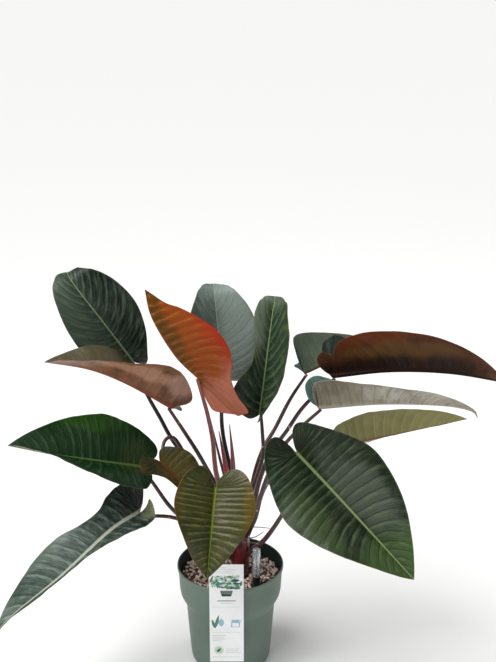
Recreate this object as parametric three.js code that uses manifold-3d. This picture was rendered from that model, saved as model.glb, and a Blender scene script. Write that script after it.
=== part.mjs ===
// A red-leaved climbing philodendron in its plastic growing pot, with the granular bed, a water-level
// gauge standing in the bed and a care card hanging on the rim.
// Millimetres, +Z up. The origin is the centre of the pot's underside; the front faces -Y.

import * as THREE from 'three';
import * as BufferGeometryUtils from 'three/addons/utils/BufferGeometryUtils.js';
import Module from 'manifold-3d';

const wasm = await Module();
wasm.setup();

// Driving dimensions

const GAP = 0.3;
const POT_HEIGHT = 180;
const RIM_RADIUS = 90;
const RIM_CHAMFER = 0.8;
const WALL = 1.8;
const FLOOR = 4;
const POT_SEGMENTS = 40;

const BED_TOP = 156;
const GRANULE_COUNT = 110;
const GRANULE_SIZE = 5.6;

const STEM_ROUTE = [[12, 0, 70], [16, 0, 170], [19, -1, 225], [13, -4, 268], [6, -7, 300]];
const STEM_RADII = [11, 15, 15, 12, 8];

const BLADE_THICKNESS = 1.2;
const MIDRIB_DEPTH = 3.4;
const MIDRIB_TAPER = 0.8;
const VEIN_RELIEF = 1.3;
const LOBE_REACH = 0.125;
const LEAF_ROWS = 14;
const LEAF_COLUMNS = [0, 0.07, 0.36, 0.7, 1];
const FAN_SHARE = 0.4;
const FAR_WAVE_SHIFT = 0.37;

const STEM_SIDES = 12;
const STEM_STEPS = 8;
const STALK_SIDES = 7;
const STALK_STEPS = 10;
const STALK_RADII = [5, 4.2, 3.6, 3.4];
const SEAT_LENGTH = 3;
const SEAT_ROOM = [30, 24, 20];

const CARD_WIDTH = 56;
const CARD_BOTTOM = 46;
const CARD_TOP = 229;
const CARD_THICKNESS = 0.8;
const CARD_X = -5;
const HOOK_WIDTH_TOP = 21;
const HOOK_WIDTH_BOTTOM = 15;
const HOOK_DROP = 11;

const GAUGE_PLACE = [44, -37];
const GAUGE_RADIUS = 6.5;
const GAUGE_BORE = 3;
const GAUGE_FOOT = 24;
const GAUGE_SHOULDER = 175;
const GAUGE_TOP = 227;

// Half outlines of a blade, from the notch at the leaf stalk round the lobe to the tip.
// The first number runs along the midrib in blade lengths, the second across in half widths.

const OUTLINES = {
	ovate: [
		[0, 0], [-0.06, 0.1], [-0.12, 0.25], [-0.125, 0.42], [-0.065, 0.6], [0.03, 0.76], [0.16, 0.92],
		[0.32, 1], [0.5, 0.9], [0.68, 0.69], [0.84, 0.4], [0.94, 0.17], [1, 0],
	],
	heart: [
		[0, 0], [-0.09, 0.12], [-0.16, 0.3], [-0.175, 0.52], [-0.12, 0.74], [-0.01, 0.9], [0.12, 0.98],
		[0.26, 1], [0.42, 0.88], [0.6, 0.66], [0.77, 0.42], [0.9, 0.19], [1, 0],
	],
	oval: [
		[0, 0], [-0.04, 0.08], [-0.08, 0.2], [-0.085, 0.34], [-0.03, 0.47], [0.08, 0.64], [0.23, 0.86],
		[0.42, 1], [0.6, 0.94], [0.75, 0.78], [0.86, 0.55], [0.93, 0.32], [0.975, 0.12], [1, 0],
	],
	eared: [
		[0, 0], [-0.04, 0.12], [-0.07, 0.28], [-0.075, 0.46], [-0.04, 0.6], [0, 0.52], [0.03, 0.56],
		[0.055, 0.76], [0.11, 0.92], [0.22, 1], [0.4, 0.97], [0.6, 0.8], [0.8, 0.5], [0.93, 0.2], [1, 0],
	],
	taper: [
		[0, 0], [-0.05, 0.12], [-0.08, 0.3], [-0.09, 0.52], [-0.07, 0.75], [-0.02, 0.93], [0.06, 1],
		[0.18, 0.96], [0.34, 0.8], [0.5, 0.63], [0.66, 0.47], [0.8, 0.31], [0.92, 0.13], [1, 0],
	],
	waisted: [
		[0, 0], [-0.02, 0.16], [-0.03, 0.38], [0.02, 0.68], [0.1, 0.92], [0.2, 1], [0.32, 0.86],
		[0.44, 0.5], [0.56, 0.42], [0.7, 0.5], [0.83, 0.58], [0.92, 0.42], [0.975, 0.18], [1, 0],
	],
	lobed: [
		[0, 0], [-0.06, 0.14], [-0.1, 0.38], [-0.11, 0.68], [-0.07, 0.92], [0, 1], [0.08, 0.86], [0.16, 0.6],
		[0.28, 0.44], [0.45, 0.38], [0.68, 0.28], [0.88, 0.13], [1, 0],
	],
	waved: [
		[0, 0], [-0.06, 0.12], [-0.12, 0.32], [-0.13, 0.56], [-0.07, 0.8], [0.01, 0.9], [0.09, 0.78],
		[0.17, 0.56], [0.28, 0.6], [0.42, 0.82], [0.56, 0.82], [0.7, 0.62], [0.84, 0.34], [0.94, 0.14], [1, 0],
	],
	hanging: [
		[0, 0], [-0.1, -0.12], [-0.22, -0.22], [-0.35, -0.29], [-0.62, 0.16], [-0.4, 0.28], [-0.22, 0.46],
		[-0.12, 0.68], [0.06, 0.92], [0.28, 1], [0.5, 0.87], [0.7, 0.62], [0.86, 0.33], [1, 0],
	],
};

// One entry for each leaf. rib is the midrib from the stalk to the tip, face is where the upper side
// looks, and farShape is the right half's outline where it differs from the left one's. The pairs hold
// the value of the blade's left half and then of its right half, seen from above with the tip ahead:
// half is the width in mm, fold how far the half stands up from flat in degrees, lobe how far the basal
// lobe reaches back (1 is the outline's own reach), and lift how far its end leaves the blade's plane
// in mm. wave is the margin's wave: height in mm, number of waves, start.

const LEAVES = [
	{
		name: 'top_left', colour: 0x2f4a3a, shape: 'oval', half: [62, 64],
		rib: [[-159, 60, 521], [-203, 46, 592], [-243, 48, 648], [-259, 60, 668], [-264, 78, 670]],
		face: [0.3, -1, 0.3], tipFace: [-0.1, -0.5, 1], fold: [15, 45], tipFold: [5, 5],
		lobe: [0.5, 0.5], wave: [3, 2, 0.2],
		stalk: [[14, -2, 250], [2, 12, 285], [-42, 20, 325], [-92, 34, 385], [-117, 45, 428], [-140, 54, 470]],
		stalkColour: 0x1f1519,
	},
	{
		name: 'copper_left', colour: 0x8a6a52, shape: 'ovate', half: [68, 74],
		rib: [[-93, -20, 474], [-160, -40, 523], [-219, -40, 547], [-291, -20, 551]],
		face: [0.1, 0.6, 0.8], fold: [50, 27], tipFold: [-32, 74], lobe: [0.8, 1], wave: [3, 2.5, 0.1],
		stalk: [[16, -3, 244], [-4, -2, 290], [-28, -5, 338], [-50, -10, 385], [-74, -15, 430]],
		stalkColour: 0x4a2230,
	},
	{
		name: 'new_red', colour: 0xa8421a, shape: 'hanging', farShape: 'ovate', half: [74, 62],
		rib: [[-45, -40, 531], [-81, -55, 575], [-115, -60, 637], [-126, -50, 681]],
		face: [0.7, 0.6, 0.3], fold: [60, 40], lobe: [1, 1], wave: [0, 3, 0],
		stalk: [
			[8, -7, 292], [-10, -17, 316], [-22, -24, 360], [-27, -28, 420], [-34, -34, 465], [-41, -39, 497],
		],
		stalkColour: 0x7a3a38,
	},
	{
		name: 'back_grey', colour: 0x6d7d72, shape: 'oval', half: [56, 66],
		rib: [[-8, 50, 496], [-17, 48, 566], [-23, 50, 625], [-25, 58, 645], [-26, 74, 652]],
		face: [0, -1, 0.2], tipFace: [0, -0.3, 0.9], fold: [50, 12], tipFold: [12, 12],
		lobe: [0.3, 0.3], wave: [3, 2, 0.6],
		stalk: [[10, -6, 280], [8, 14, 315], [-4, 32, 360], [-12, 42, 400], [-14, 48, 440]],
		stalkColour: 0x17110f,
	},
	{
		name: 'top_centre', colour: 0x33503c, shape: 'waisted', farShape: 'oval', half: [52, 58],
		rib: [[50, 30, 440], [59, 20, 529], [68, 28, 607], [72, 40, 628], [74, 56, 636]],
		face: [-0.15, -1, 0.2], fold: [25, 80], tipFold: [25, 25], lobe: [1, 0.2], wave: [3, 2.5, 0.1],
		stalk: [[18, -2, 240], [30, 14, 288], [45, 22, 330], [55, 25, 369], [54, 29, 405]],
		stalkColour: 0x3a1d26,
	},
	{
		name: 'right_back', colour: 0x6f8073, shape: 'taper', half: [44, 66],
		rib: [[126, 110, 483], [197, 140, 502], [269, 160, 506]],
		face: [-0.2, 0.6, 0.8], fold: [40, 62], lobe: [0.2, 0.3], wave: [2, 2, 0],
		stalk: [[18, -1, 225], [32, 20, 270], [40, 36, 322], [55, 52, 366], [76, 72, 396], [102, 95, 440]],
		stalkColour: 0x5b3440,
	},
	{
		name: 'right_brown', colour: 0x4a2a1c, shape: 'lobed', farShape: 'eared', half: [88, 70],
		rib: [[167, 10, 515], [256, -10, 532], [350, -20, 532], [441, -30, 519]],
		face: [0, 0.6, 0.8], fold: [66, 48], tipFold: [40, 48], lobe: [0.5, 1], lift: [6, 0],
		wave: [2, 2, 0.3],
		stalk: [[18, -1, 232], [38, -3, 285], [49, 3, 332], [68, 7, 382], [92, 9, 417], [123, 10, 465]],
		stalkColour: 0x3c2226,
	},
	{
		name: 'right_silver', colour: 0x8b8f83, shape: 'lobed', farShape: 'taper', half: [52, 48],
		rib: [[142, -40, 482], [237, -55, 495], [330, -60, 494], [377, -60, 485], [391, -60, 472]],
		face: [0, 0.5, 0.85], fold: [86, 48], tipFold: [50, 30], lobe: [0.7, 0.3],
		wave: [2, 3, 0.5],
		stalk: [[17, -1, 215], [40, -16, 268], [51, -25, 318], [64, -30, 362], [84, -35, 408], [113, -38, 445]],
		stalkColour: 0x3b2a2c,
	},
	{
		name: 'right_olive', colour: 0x74744a, shape: 'ovate', half: [52, 52],
		rib: [[193, 80, 363], [261, 70, 383], [338, 65, 403], [398, 60, 419]],
		face: [0, 0.35, 0.94], fold: [-8, 60], lobe: [0.6, 0.6], wave: [2, 2, 0],
		stalk: [[16, 0, 200], [38, 14, 248], [60, 38, 305], [102, 66, 343], [148, 77, 351]],
		stalkColour: 0x35161e,
	},
	{
		name: 'front_right', colour: 0x2d4434, shape: 'ovate', half: [96, 96],
		rib: [[106, -90, 426], [156, -125, 383], [217, -180, 334], [275, -235, 288]],
		face: [0.1, -0.8, 0.6], fold: [48, 14], tipFold: [14, 14], lobe: [0.9, 1.1], wave: [4, 2, 0.4],
		stalk: [[15, 0, 184], [36, -10, 208], [60, -24, 240], [88, -50, 302], [109, -74, 368]],
		stalkColour: 0x4a3035,
	},
	{
		name: 'front_centre', colour: 0x55501f, shape: 'heart', half: [68, 66],
		rib: [[-21, -110, 376], [-27, -150, 315], [-33, -172, 251]],
		face: [0, -0.7, 0.7], fold: [14, 26], lobe: [1.2, 1.2], wave: [4, 2.5, 0.2],
		stalk: [[17, 0, 205], [14, -28, 242], [-2, -62, 306], [-14, -90, 355]],
		stalkColour: 0x5a2f2a,
	},
	{
		name: 'left_long', colour: 0x1f3a26, shape: 'ovate', half: [82, 82],
		rib: [[-147, -20, 369], [-212, -45, 391], [-284, -60, 410], [-348, -70, 429]],
		face: [0.1, -0.7, 0.8], fold: [30, 5], tipFold: [75, 5], lobe: [0.5, 1.1], wave: [3, 2, 0],
		stalk: [[17, 0, 198], [-8, -8, 222], [-50, -10, 246], [-96, -8, 285], [-131, -6, 338]],
		stalkColour: 0x35171f,
	},
	{
		name: 'small_olive', colour: 0x4f4a22, shape: 'ovate', farShape: 'lobed', half: [45, 42],
		rib: [[-112, -40, 388], [-79, -60, 361], [-47, -60, 320]],
		face: [0, -0.8, 0.5], fold: [10, 40], lobe: [1, 1.8], wave: [3, 2, 0.3],
		stalk: [[17, 0, 226], [-8, 2, 262], [-41, 0, 318], [-76, -4, 388], [-92, -6, 414], [-106, -14, 410]],
		stalkColour: 0x3a1c26,
	},
	{
		name: 'lower_left', colour: 0x44584e, shape: 'taper', farShape: 'waved', half: [54, 70],
		rib: [[-145, -60, 306], [-190, -95, 290], [-258, -170, 254], [-318, -230, 228], [-346, -250, 205]],
		face: [-0.33, -0.15, 0.9], fold: [8, 34], tipFold: [30, 16], lobe: [0.5, 0.8], lift: [24, 24],
		wave: [4, 2.5, 0.6],
		stalk: [[16, 0, 176], [-6, -12, 204], [-41, -28, 252], [-90, -44, 288]],
		stalkColour: 0x4b2c33,
	},
];

const SHEATHS = [
	{
		name: 'sheath_crimson', colour: 0x8a1f22, radii: [5, 4.2, 0.7],
		route: [[7, -12, 292], [-3, -16, 345], [-17, -16, 430]],
	},
	{
		name: 'sheath_mauve', colour: 0x8c5560, radii: [4.6, 4, 0.7],
		route: [[7, -2, 292], [5, -4, 372], [0, -3, 436]],
	},
	{
		name: 'sheath_thin', colour: 0x3b2226, radii: [2.6, 2.4, 0.6],
		route: [[4, -10, 292], [-16, 0, 372], [-34, 2, 456]],
	},
];

const ROOTS = [
	{
		name: 'aerial_root_1', colour: 0x2b2320, radius: 0.9,
		route: [[20, -10, 250], [42, -20, 258], [66, -22, 257]],
	},
	{
		name: 'aerial_root_2', colour: 0x2b2320, radius: 0.9,
		route: [[18, -10, 232], [40, -22, 240], [56, -24, 251]],
	},
	{
		name: 'aerial_root_3', colour: 0xa89a8c, radius: 0.8,
		route: [[18, -10, 224], [36, -22, 230], [50, -26, 229]],
	},
];

// Helpers

function points3(list) {
	return list.map((p) => new THREE.Vector3(...p));
}

function closedGeometry(positions, indices) {
	const geometry = new THREE.BufferGeometry();
	geometry.setAttribute('position', new THREE.Float32BufferAttribute(positions, 3));
	geometry.setIndex(indices);
	return geometry;
}

function toSolid(geometry) {
	const bare = geometry.clone();
	bare.deleteAttribute('normal');
	bare.deleteAttribute('uv');
	const merged = BufferGeometryUtils.mergeVertices(bare, 1e-3);
	const index = merged.index.array;
	const kept = [];
	for (let i = 0; i < index.length; i += 3) {
		const [a, b, c] = [index[i], index[i + 1], index[i + 2]];
		if (a !== b && b !== c && c !== a) kept.push(a, b, c);
	}
	return new wasm.Manifold(new wasm.Mesh({
		numProp: 3,
		vertProperties: new Float32Array(merged.attributes.position.array),
		triVerts: new Uint32Array(kept),
	}));
}

function toGeometry(solid) {
	const mesh = solid.getMesh();
	return closedGeometry(Array.from(mesh.vertProperties), Array.from(mesh.triVerts));
}

function largestPiece(solid) {
	return solid.decompose().reduce((a, b) => (b.volume() > a.volume() ? b : a));
}

// A round rod along a smooth route, its radius taken from a list spread evenly over the length.
function rod(route, radii, sides, steps) {
	const curve = new THREE.CatmullRomCurve3(points3(route), false, 'catmullrom', 0.5);
	const frames = curve.computeFrenetFrames(steps);
	const positions = [];
	const indices = [];
	for (let i = 0; i <= steps; i++) {
		const u = i / steps;
		const centre = curve.getPointAt(u);
		const along = u * (radii.length - 1);
		const k = Math.min(Math.floor(along), radii.length - 2);
		const radius = THREE.MathUtils.lerp(radii[k], radii[k + 1], along - k);
		for (let j = 0; j < sides; j++) {
			const angle = (j / sides) * Math.PI * 2;
			const p = centre.clone()
				.addScaledVector(frames.normals[i], Math.cos(angle) * radius)
				.addScaledVector(frames.binormals[i], Math.sin(angle) * radius);
			positions.push(p.x, p.y, p.z);
		}
	}
	for (let i = 0; i < steps; i++) {
		for (let j = 0; j < sides; j++) {
			const a = i * sides + j;
			const b = i * sides + ((j + 1) % sides);
			indices.push(a, b, b + sides, a, b + sides, a + sides);
		}
	}
	const last = steps * sides;
	for (let j = 1; j < sides - 1; j++) {
		indices.push(0, j + 1, j);
		indices.push(last, last + j, last + j + 1);
	}
	return closedGeometry(positions, indices);
}

// The stem, or the room it needs with a gap round it and under its foot.
function stemRod(extra) {
	const [foot, ...rest] = STEM_ROUTE;
	const radii = STEM_RADII.map((r) => r + extra);
	return rod([[foot[0], foot[1], foot[2] - extra], ...rest], radii, STEM_SIDES, STEM_STEPS);
}

// Leaf blades

function midrib(leaf) {
	return new THREE.CatmullRomCurve3(points3(leaf.rib), false, 'catmullrom', 0.5);
}

// The midrib's place, direction and upward normal at a share of its length.
function midribFrame(leaf, curve, share) {
	const centre = curve.getPointAt(share);
	const tangent = curve.getTangentAt(share);
	const face = new THREE.Vector3(...leaf.face).normalize();
	const tipFace = new THREE.Vector3(...(leaf.tipFace ?? leaf.face)).normalize();
	const normal = face.lerp(tipFace, share);
	normal.addScaledVector(tangent, -normal.dot(tangent)).normalize();
	return { centre, tangent, normal };
}

// Places a point of the flat blade in space. x is in blade lengths, y in half widths, side is -1 or 1.
function bladePoint(leaf, curve, length, x, y, side) {
	const k = THREE.MathUtils.clamp(x, 0, 1);
	const i = side < 0 ? 0 : 1;
	const { centre, tangent, normal } = midribFrame(leaf, curve, k);
	const across = new THREE.Vector3().crossVectors(tangent, normal);
	const tipFold = leaf.tipFold ?? leaf.fold;
	const angle = THREE.MathUtils.degToRad(THREE.MathUtils.lerp(leaf.fold[i], tipFold[i], k));
	const width = y * leaf.half[i];
	const out = width * Math.cos(angle);
	let rise = width * Math.sin(angle);
	if (x < 0) {
		const share = (-x * length) / (LOBE_REACH * length * leaf.lobe[i]);
		rise += (leaf.lift ?? [0, 0])[i] * share * share;
		centre.addScaledVector(tangent, x * length);
	}
	return {
		place: centre.addScaledVector(across, out * side).addScaledVector(normal, rise),
		up: normal.multiplyScalar(Math.cos(angle)).addScaledVector(across, -side * Math.sin(angle)),
	};
}

// A blade's middle surface as rows that follow the side veins, with the midrib shared by both halves.
function bladeSurface(leaf) {
	const curve = midrib(leaf);
	const length = curve.getLength();
	const outlines = [leaf.shape, leaf.farShape ?? leaf.shape]
		.map((shape) => new THREE.SplineCurve(OUTLINES[shape].map((p) => new THREE.Vector2(...p))));
	const places = [];
	const ribs = [];
	const indices = [];
	const known = new Map();
	const [height, count, start] = leaf.wave;

	function vertex(row, column, side) {
		const t = row / LEAF_ROWS;
		const q = LEAF_COLUMNS[column];
		const i = side < 0 ? 0 : 1;
		const end = outlines[i].getPoint(t);
		if (end.x < 0) end.x *= leaf.lobe[i];
		const beyond = Math.max(0, (t - FAN_SHARE) / (1 - FAN_SHARE));
		const root = Math.pow(beyond, 1.1);
		const bend = new THREE.Vector2(root + (end.x - root) * 0.25, end.y * 0.6);
		const x = root * (1 - q) ** 2 + bend.x * 2 * q * (1 - q) + end.x * q * q;
		const y = bend.y * 2 * q * (1 - q) + end.y * q * q;
		const { place, up } = bladePoint(leaf, curve, length, x, y, side);
		const shift = side > 0 ? FAR_WAVE_SHIFT : 0;
		const fade = Math.min(1, Math.abs(end.y) * 2.5);
		const wave = height * Math.sin(2 * Math.PI * (count * t + start + shift)) * fade * q * q;
		const swell = Math.sin(Math.PI * Math.min(q, 0.85)) * end.y * (1 - beyond);
		const quilt = (row % 2 ? 1 : -1) * VEIN_RELIEF * swell;
		place.addScaledVector(up, column ? wave + quilt : 0);
		const key = place.toArray().map((v) => v.toFixed(2)).join();
		if (!known.has(key)) {
			known.set(key, places.length);
			places.push(place);
			ribs.push(column ? 0 : MIDRIB_DEPTH * (1 - MIDRIB_TAPER * x));
		}
		return known.get(key);
	}

	function triangle(a, b, c) {
		if (a !== b && b !== c && c !== a) indices.push(a, b, c);
	}

	for (const side of [-1, 1]) {
		for (let row = 0; row < LEAF_ROWS; row++) {
			for (let column = 0; column < LEAF_COLUMNS.length - 1; column++) {
				const a = vertex(row, column, side);
				const b = vertex(row + 1, column, side);
				const c = vertex(row + 1, column + 1, side);
				const d = vertex(row, column + 1, side);
				if (side > 0) {
					triangle(a, d, c);
					triangle(a, c, b);
				} else {
					triangle(a, c, d);
					triangle(a, b, c);
				}
			}
		}
	}
	return { places, ribs, indices };
}

// Gives the surface its thickness, a deeper midrib underneath and a closed edge.
function bladeGeometry(leaf) {
	const { places, ribs, indices } = bladeSurface(leaf);
	const normals = places.map(() => new THREE.Vector3());
	for (let i = 0; i < indices.length; i += 3) {
		const [a, b, c] = [places[indices[i]], places[indices[i + 1]], places[indices[i + 2]]];
		const area = new THREE.Vector3().subVectors(b, a).cross(new THREE.Vector3().subVectors(c, a));
		for (const k of [0, 1, 2]) normals[indices[i + k]].add(area);
	}
	const positions = [];
	const count = places.length;
	const half = BLADE_THICKNESS / 2;
	places.forEach((p, i) => {
		const q = p.clone().addScaledVector(normals[i].normalize(), half);
		positions.push(q.x, q.y, q.z);
	});
	places.forEach((p, i) => {
		const q = p.clone().addScaledVector(normals[i], -half - ribs[i]);
		positions.push(q.x, q.y, q.z);
	});
	const faces = [];
	const edges = new Map();
	for (let i = 0; i < indices.length; i += 3) {
		const corner = [indices[i], indices[i + 1], indices[i + 2]];
		faces.push(...corner);
		faces.push(corner[0] + count, corner[2] + count, corner[1] + count);
		for (const k of [0, 1, 2]) {
			const [a, b] = [corner[k], corner[(k + 1) % 3]];
			if (edges.has(`${b},${a}`)) edges.delete(`${b},${a}`);
			else edges.set(`${a},${b}`, [a, b]);
		}
	}
	for (const [a, b] of edges.values()) faces.push(b, a, a + count, b, a + count, b + count);
	return closedGeometry(positions, faces);
}

// Pot, bed and stem

// Outer radius and height, from the underside to the rim.
const potProfile = [
	[61, 0], [65.4, 2.2], [67.8, 8], [69, 20], [73, 72], [75.3, 108], [77.5, 113], [84.4, 126],
	[86.4, 137], [87.2, 157], [88.6, 172], [RIM_RADIUS, 174], [RIM_RADIUS, POT_HEIGHT - RIM_CHAMFER],
	[RIM_RADIUS - RIM_CHAMFER, POT_HEIGHT],
];

function potGeometry() {
	const outside = potProfile.map(([r, z]) => new THREE.Vector2(r, z));
	const inside = potProfile.slice(2, -3)
		.map(([r, z]) => new THREE.Vector2(r - WALL, Math.max(z, FLOOR + 4)));
	inside.push(new THREE.Vector2(RIM_RADIUS - WALL - RIM_CHAMFER, POT_HEIGHT - 0.6));
	const profile = [new THREE.Vector2(0, 0), ...outside, ...inside.reverse()];
	profile.push(new THREE.Vector2(potProfile[0][0], FLOOR), new THREE.Vector2(0, FLOOR));
	return new THREE.LatheGeometry(profile, POT_SEGMENTS).rotateX(Math.PI / 2);
}

function bedGeometry() {
	const clear = WALL + GAP;
	const profile = [new THREE.Vector2(0, FLOOR + GAP), new THREE.Vector2(potProfile[0][0] - 1, FLOOR + GAP)];
	for (const [r, z] of potProfile.slice(3, 9)) profile.push(new THREE.Vector2(r - clear, z));
	profile.push(new THREE.Vector2(potProfile[8][0] - clear, BED_TOP), new THREE.Vector2(0, BED_TOP));
	return new THREE.LatheGeometry(profile, POT_SEGMENTS).rotateX(Math.PI / 2);
}

// Repeatable draws between 0 and 1.
function seededDraw(seed) {
	let state = seed;
	return () => {
		state = (state * 1664525 + 1013904223) % 4294967296;
		return state / 4294967296;
	};
}

function granule(draw, place) {
	const shape = new THREE.OctahedronGeometry(GRANULE_SIZE * (0.75 + draw() * 0.5));
	const stretch = new THREE.Vector3(1, 0.72 + draw() * 0.3, 0.72 + draw() * 0.25);
	const turn = new THREE.Quaternion().setFromEuler(new THREE.Euler(draw() * 6, draw() * 6, draw() * 6));
	return shape.applyMatrix4(new THREE.Matrix4().compose(place, turn, stretch));
}

// The bed's granules lie on a sunflower spiral, each moved a little by a seeded draw.
function bedSolid(stem) {
	const draw = seededDraw(7);
	const reach = potProfile[8][0] - WALL - 6;
	const grains = [];
	for (let i = 0; i < GRANULE_COUNT; i++) {
		const radius = reach * Math.sqrt((i + 0.5) / GRANULE_COUNT);
		const angle = i * Math.PI * (3 - Math.sqrt(5));
		const height = BED_TOP + draw() * 0.8;
		const place = new THREE.Vector3(Math.cos(angle) * radius, Math.sin(angle) * radius, height);
		place.x += (draw() - 0.5) * 3;
		place.y += (draw() - 0.5) * 3;
		grains.push(toSolid(granule(draw, place)));
	}
	const gaugeHole = new THREE.CylinderGeometry(GAUGE_RADIUS + GAP, GAUGE_RADIUS + GAP, POT_HEIGHT, 20)
		.rotateX(Math.PI / 2)
		.translate(...GAUGE_PLACE, GAUGE_FOOT - GAP + POT_HEIGHT / 2);
	const stemHole = stemRod(GAP);
	let bed = toSolid(bedGeometry());
	bed = wasm.Manifold.union([bed, ...grains]);
	bed = bed.subtract(toSolid(gaugeHole)).subtract(toSolid(stemHole));
	return largestPiece(bed);
}

// Card

// A flat plate with a slot whose tongue is bent back over the rim and down its inside.
function cardSolid() {
	const back = -RIM_RADIUS - GAP - 0.2;
	const outline = new THREE.Shape();
	outline.moveTo(-CARD_WIDTH / 2, CARD_BOTTOM);
	outline.lineTo(CARD_WIDTH / 2, CARD_BOTTOM);
	outline.lineTo(CARD_WIDTH / 2, CARD_TOP);
	outline.lineTo(-CARD_WIDTH / 2, CARD_TOP);
	const slot = new THREE.Path();
	const slotTop = POT_HEIGHT + GAP + 0.4;
	slot.moveTo(-HOOK_WIDTH_TOP / 2, slotTop);
	slot.lineTo(HOOK_WIDTH_TOP / 2, slotTop);
	slot.lineTo(HOOK_WIDTH_BOTTOM / 2, slotTop - HOOK_DROP);
	slot.lineTo(-HOOK_WIDTH_BOTTOM / 2, slotTop - HOOK_DROP);
	outline.holes.push(slot);
	const plate = new THREE.ExtrudeGeometry(outline, { depth: CARD_THICKNESS, bevelEnabled: false })
		.rotateX(Math.PI / 2)
		.translate(CARD_X, back, 0);
	const hook = new THREE.Shape();
	const low = slotTop - CARD_THICKNESS / 2;
	const inner = RIM_RADIUS - WALL - 2.9;
	hook.moveTo(back - CARD_THICKNESS, low);
	hook.lineTo(-inner, low);
	hook.lineTo(-inner, slotTop - HOOK_DROP);
	hook.lineTo(-inner + CARD_THICKNESS, slotTop - HOOK_DROP);
	hook.lineTo(-inner + CARD_THICKNESS, low + CARD_THICKNESS);
	hook.lineTo(back - CARD_THICKNESS, low + CARD_THICKNESS);
	const tongue = new THREE.ExtrudeGeometry(hook, { depth: HOOK_WIDTH_BOTTOM, bevelEnabled: false })
		.rotateX(Math.PI / 2)
		.rotateZ(Math.PI / 2)
		.translate(CARD_X - HOOK_WIDTH_BOTTOM / 2, 0, 0);
	return toSolid(plate).add(toSolid(tongue));
}

// Gauge

function gaugeBody() {
	const spigot = GAUGE_RADIUS - 1.4;
	return new THREE.LatheGeometry([
		new THREE.Vector2(0, GAUGE_FOOT), new THREE.Vector2(GAUGE_RADIUS, GAUGE_FOOT),
		new THREE.Vector2(GAUGE_RADIUS, GAUGE_SHOULDER), new THREE.Vector2(spigot, GAUGE_SHOULDER),
		new THREE.Vector2(spigot, GAUGE_SHOULDER + 4), new THREE.Vector2(GAUGE_BORE, GAUGE_SHOULDER + 4),
		new THREE.Vector2(GAUGE_BORE, GAUGE_FOOT + 3), new THREE.Vector2(0, GAUGE_FOOT + 3),
	], 20).rotateX(Math.PI / 2);
}

function gaugeTube() {
	const inner = GAUGE_RADIUS - 1.4 + GAP;
	return new THREE.LatheGeometry([
		new THREE.Vector2(inner, GAUGE_SHOULDER + GAP), new THREE.Vector2(GAUGE_RADIUS, GAUGE_SHOULDER + GAP),
		new THREE.Vector2(GAUGE_RADIUS, GAUGE_TOP - 2), new THREE.Vector2(GAUGE_RADIUS - 2, GAUGE_TOP),
		new THREE.Vector2(0, GAUGE_TOP), new THREE.Vector2(0, GAUGE_TOP - 1.4),
		new THREE.Vector2(inner, GAUGE_TOP - 2.4), new THREE.Vector2(inner, GAUGE_SHOULDER + GAP),
	], 20).rotateX(Math.PI / 2);
}

function gaugeIndicator() {
	const foot = GAUGE_FOOT + 3 + GAP;
	return new THREE.LatheGeometry([
		new THREE.Vector2(0, foot), new THREE.Vector2(GAUGE_BORE - 0.4, foot),
		new THREE.Vector2(GAUGE_BORE - 0.4, foot + 46), new THREE.Vector2(1.2, foot + 48),
		new THREE.Vector2(1.2, GAUGE_TOP - 26), new THREE.Vector2(2, GAUGE_TOP - 25),
		new THREE.Vector2(2, GAUGE_TOP - 14), new THREE.Vector2(0, GAUGE_TOP - 13),
	], 12).rotateX(Math.PI / 2);
}

// Assembly

const group = new THREE.Group();

function addMesh(name, geometry, colour, roughness, metalness = 0) {
	const material = new THREE.MeshStandardMaterial({ color: colour, roughness, metalness });
	const mesh = new THREE.Mesh(geometry, material);
	mesh.name = name;
	group.add(mesh);
	return mesh;
}

addMesh('pot', potGeometry(), 0x738076, 0.55);
addMesh('bed', toGeometry(bedSolid()), 0x9a8478, 0.9);
addMesh('stem', stemRod(0), 0x5a1a22, 0.5);
addMesh('card', toGeometry(cardSolid()), 0xeceeed, 0.4);

for (const [name, geometry, colour, roughness] of [
	['gauge_body', gaugeBody(), 0x16221e, 0.4],
	['gauge_tube', gaugeTube(), 0xc8d0d0, 0.15],
	['gauge_indicator', gaugeIndicator(), 0x8d9696, 0.5],
]) {
	addMesh(name, geometry, colour, roughness).position.set(...GAUGE_PLACE, 0);
}

// Each stalk is cut back to the stem and to the stalks and sheaths made before it.
const stemClear = toSolid(stemRod(GAP));
const taken = [];

function cutClear(route, radii, sides, steps) {
	let solid = toSolid(rod(route, radii, sides, steps)).subtract(stemClear);
	for (const other of taken) solid = solid.subtract(other);
	taken.push(toSolid(rod(route, radii.map((r) => r + GAP), sides, steps)));
	return largestPiece(solid);
}

// The stalk ends just under the midrib, flat against the room that the blade needs.
function stalkSolid(leaf) {
	const { centre, tangent, normal } = midribFrame(leaf, midrib(leaf), 0);
	const depth = BLADE_THICKNESS / 2 + MIDRIB_DEPTH + GAP;
	const end = centre.clone().addScaledVector(normal, -depth).addScaledVector(tangent, SEAT_LENGTH);
	const across = new THREE.Vector3().crossVectors(tangent, normal);
	const room = new THREE.BoxGeometry(...SEAT_ROOM);
	room.translate(SEAT_ROOM[0] / 2 - STALK_RADII[3], 0, SEAT_ROOM[2] / 2 - depth);
	room.applyMatrix4(new THREE.Matrix4().makeBasis(tangent, across.negate(), normal).setPosition(centre));
	const stalk = cutClear([...leaf.stalk, end.toArray()], STALK_RADII, STALK_SIDES, STALK_STEPS);
	return largestPiece(stalk.subtract(toSolid(room)));
}

for (const leaf of LEAVES) {
	addMesh(`leaf_${leaf.name}`, bladeGeometry(leaf), leaf.colour, 0.4);
	addMesh(`stalk_${leaf.name}`, toGeometry(stalkSolid(leaf)), leaf.stalkColour, 0.45);
}

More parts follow.
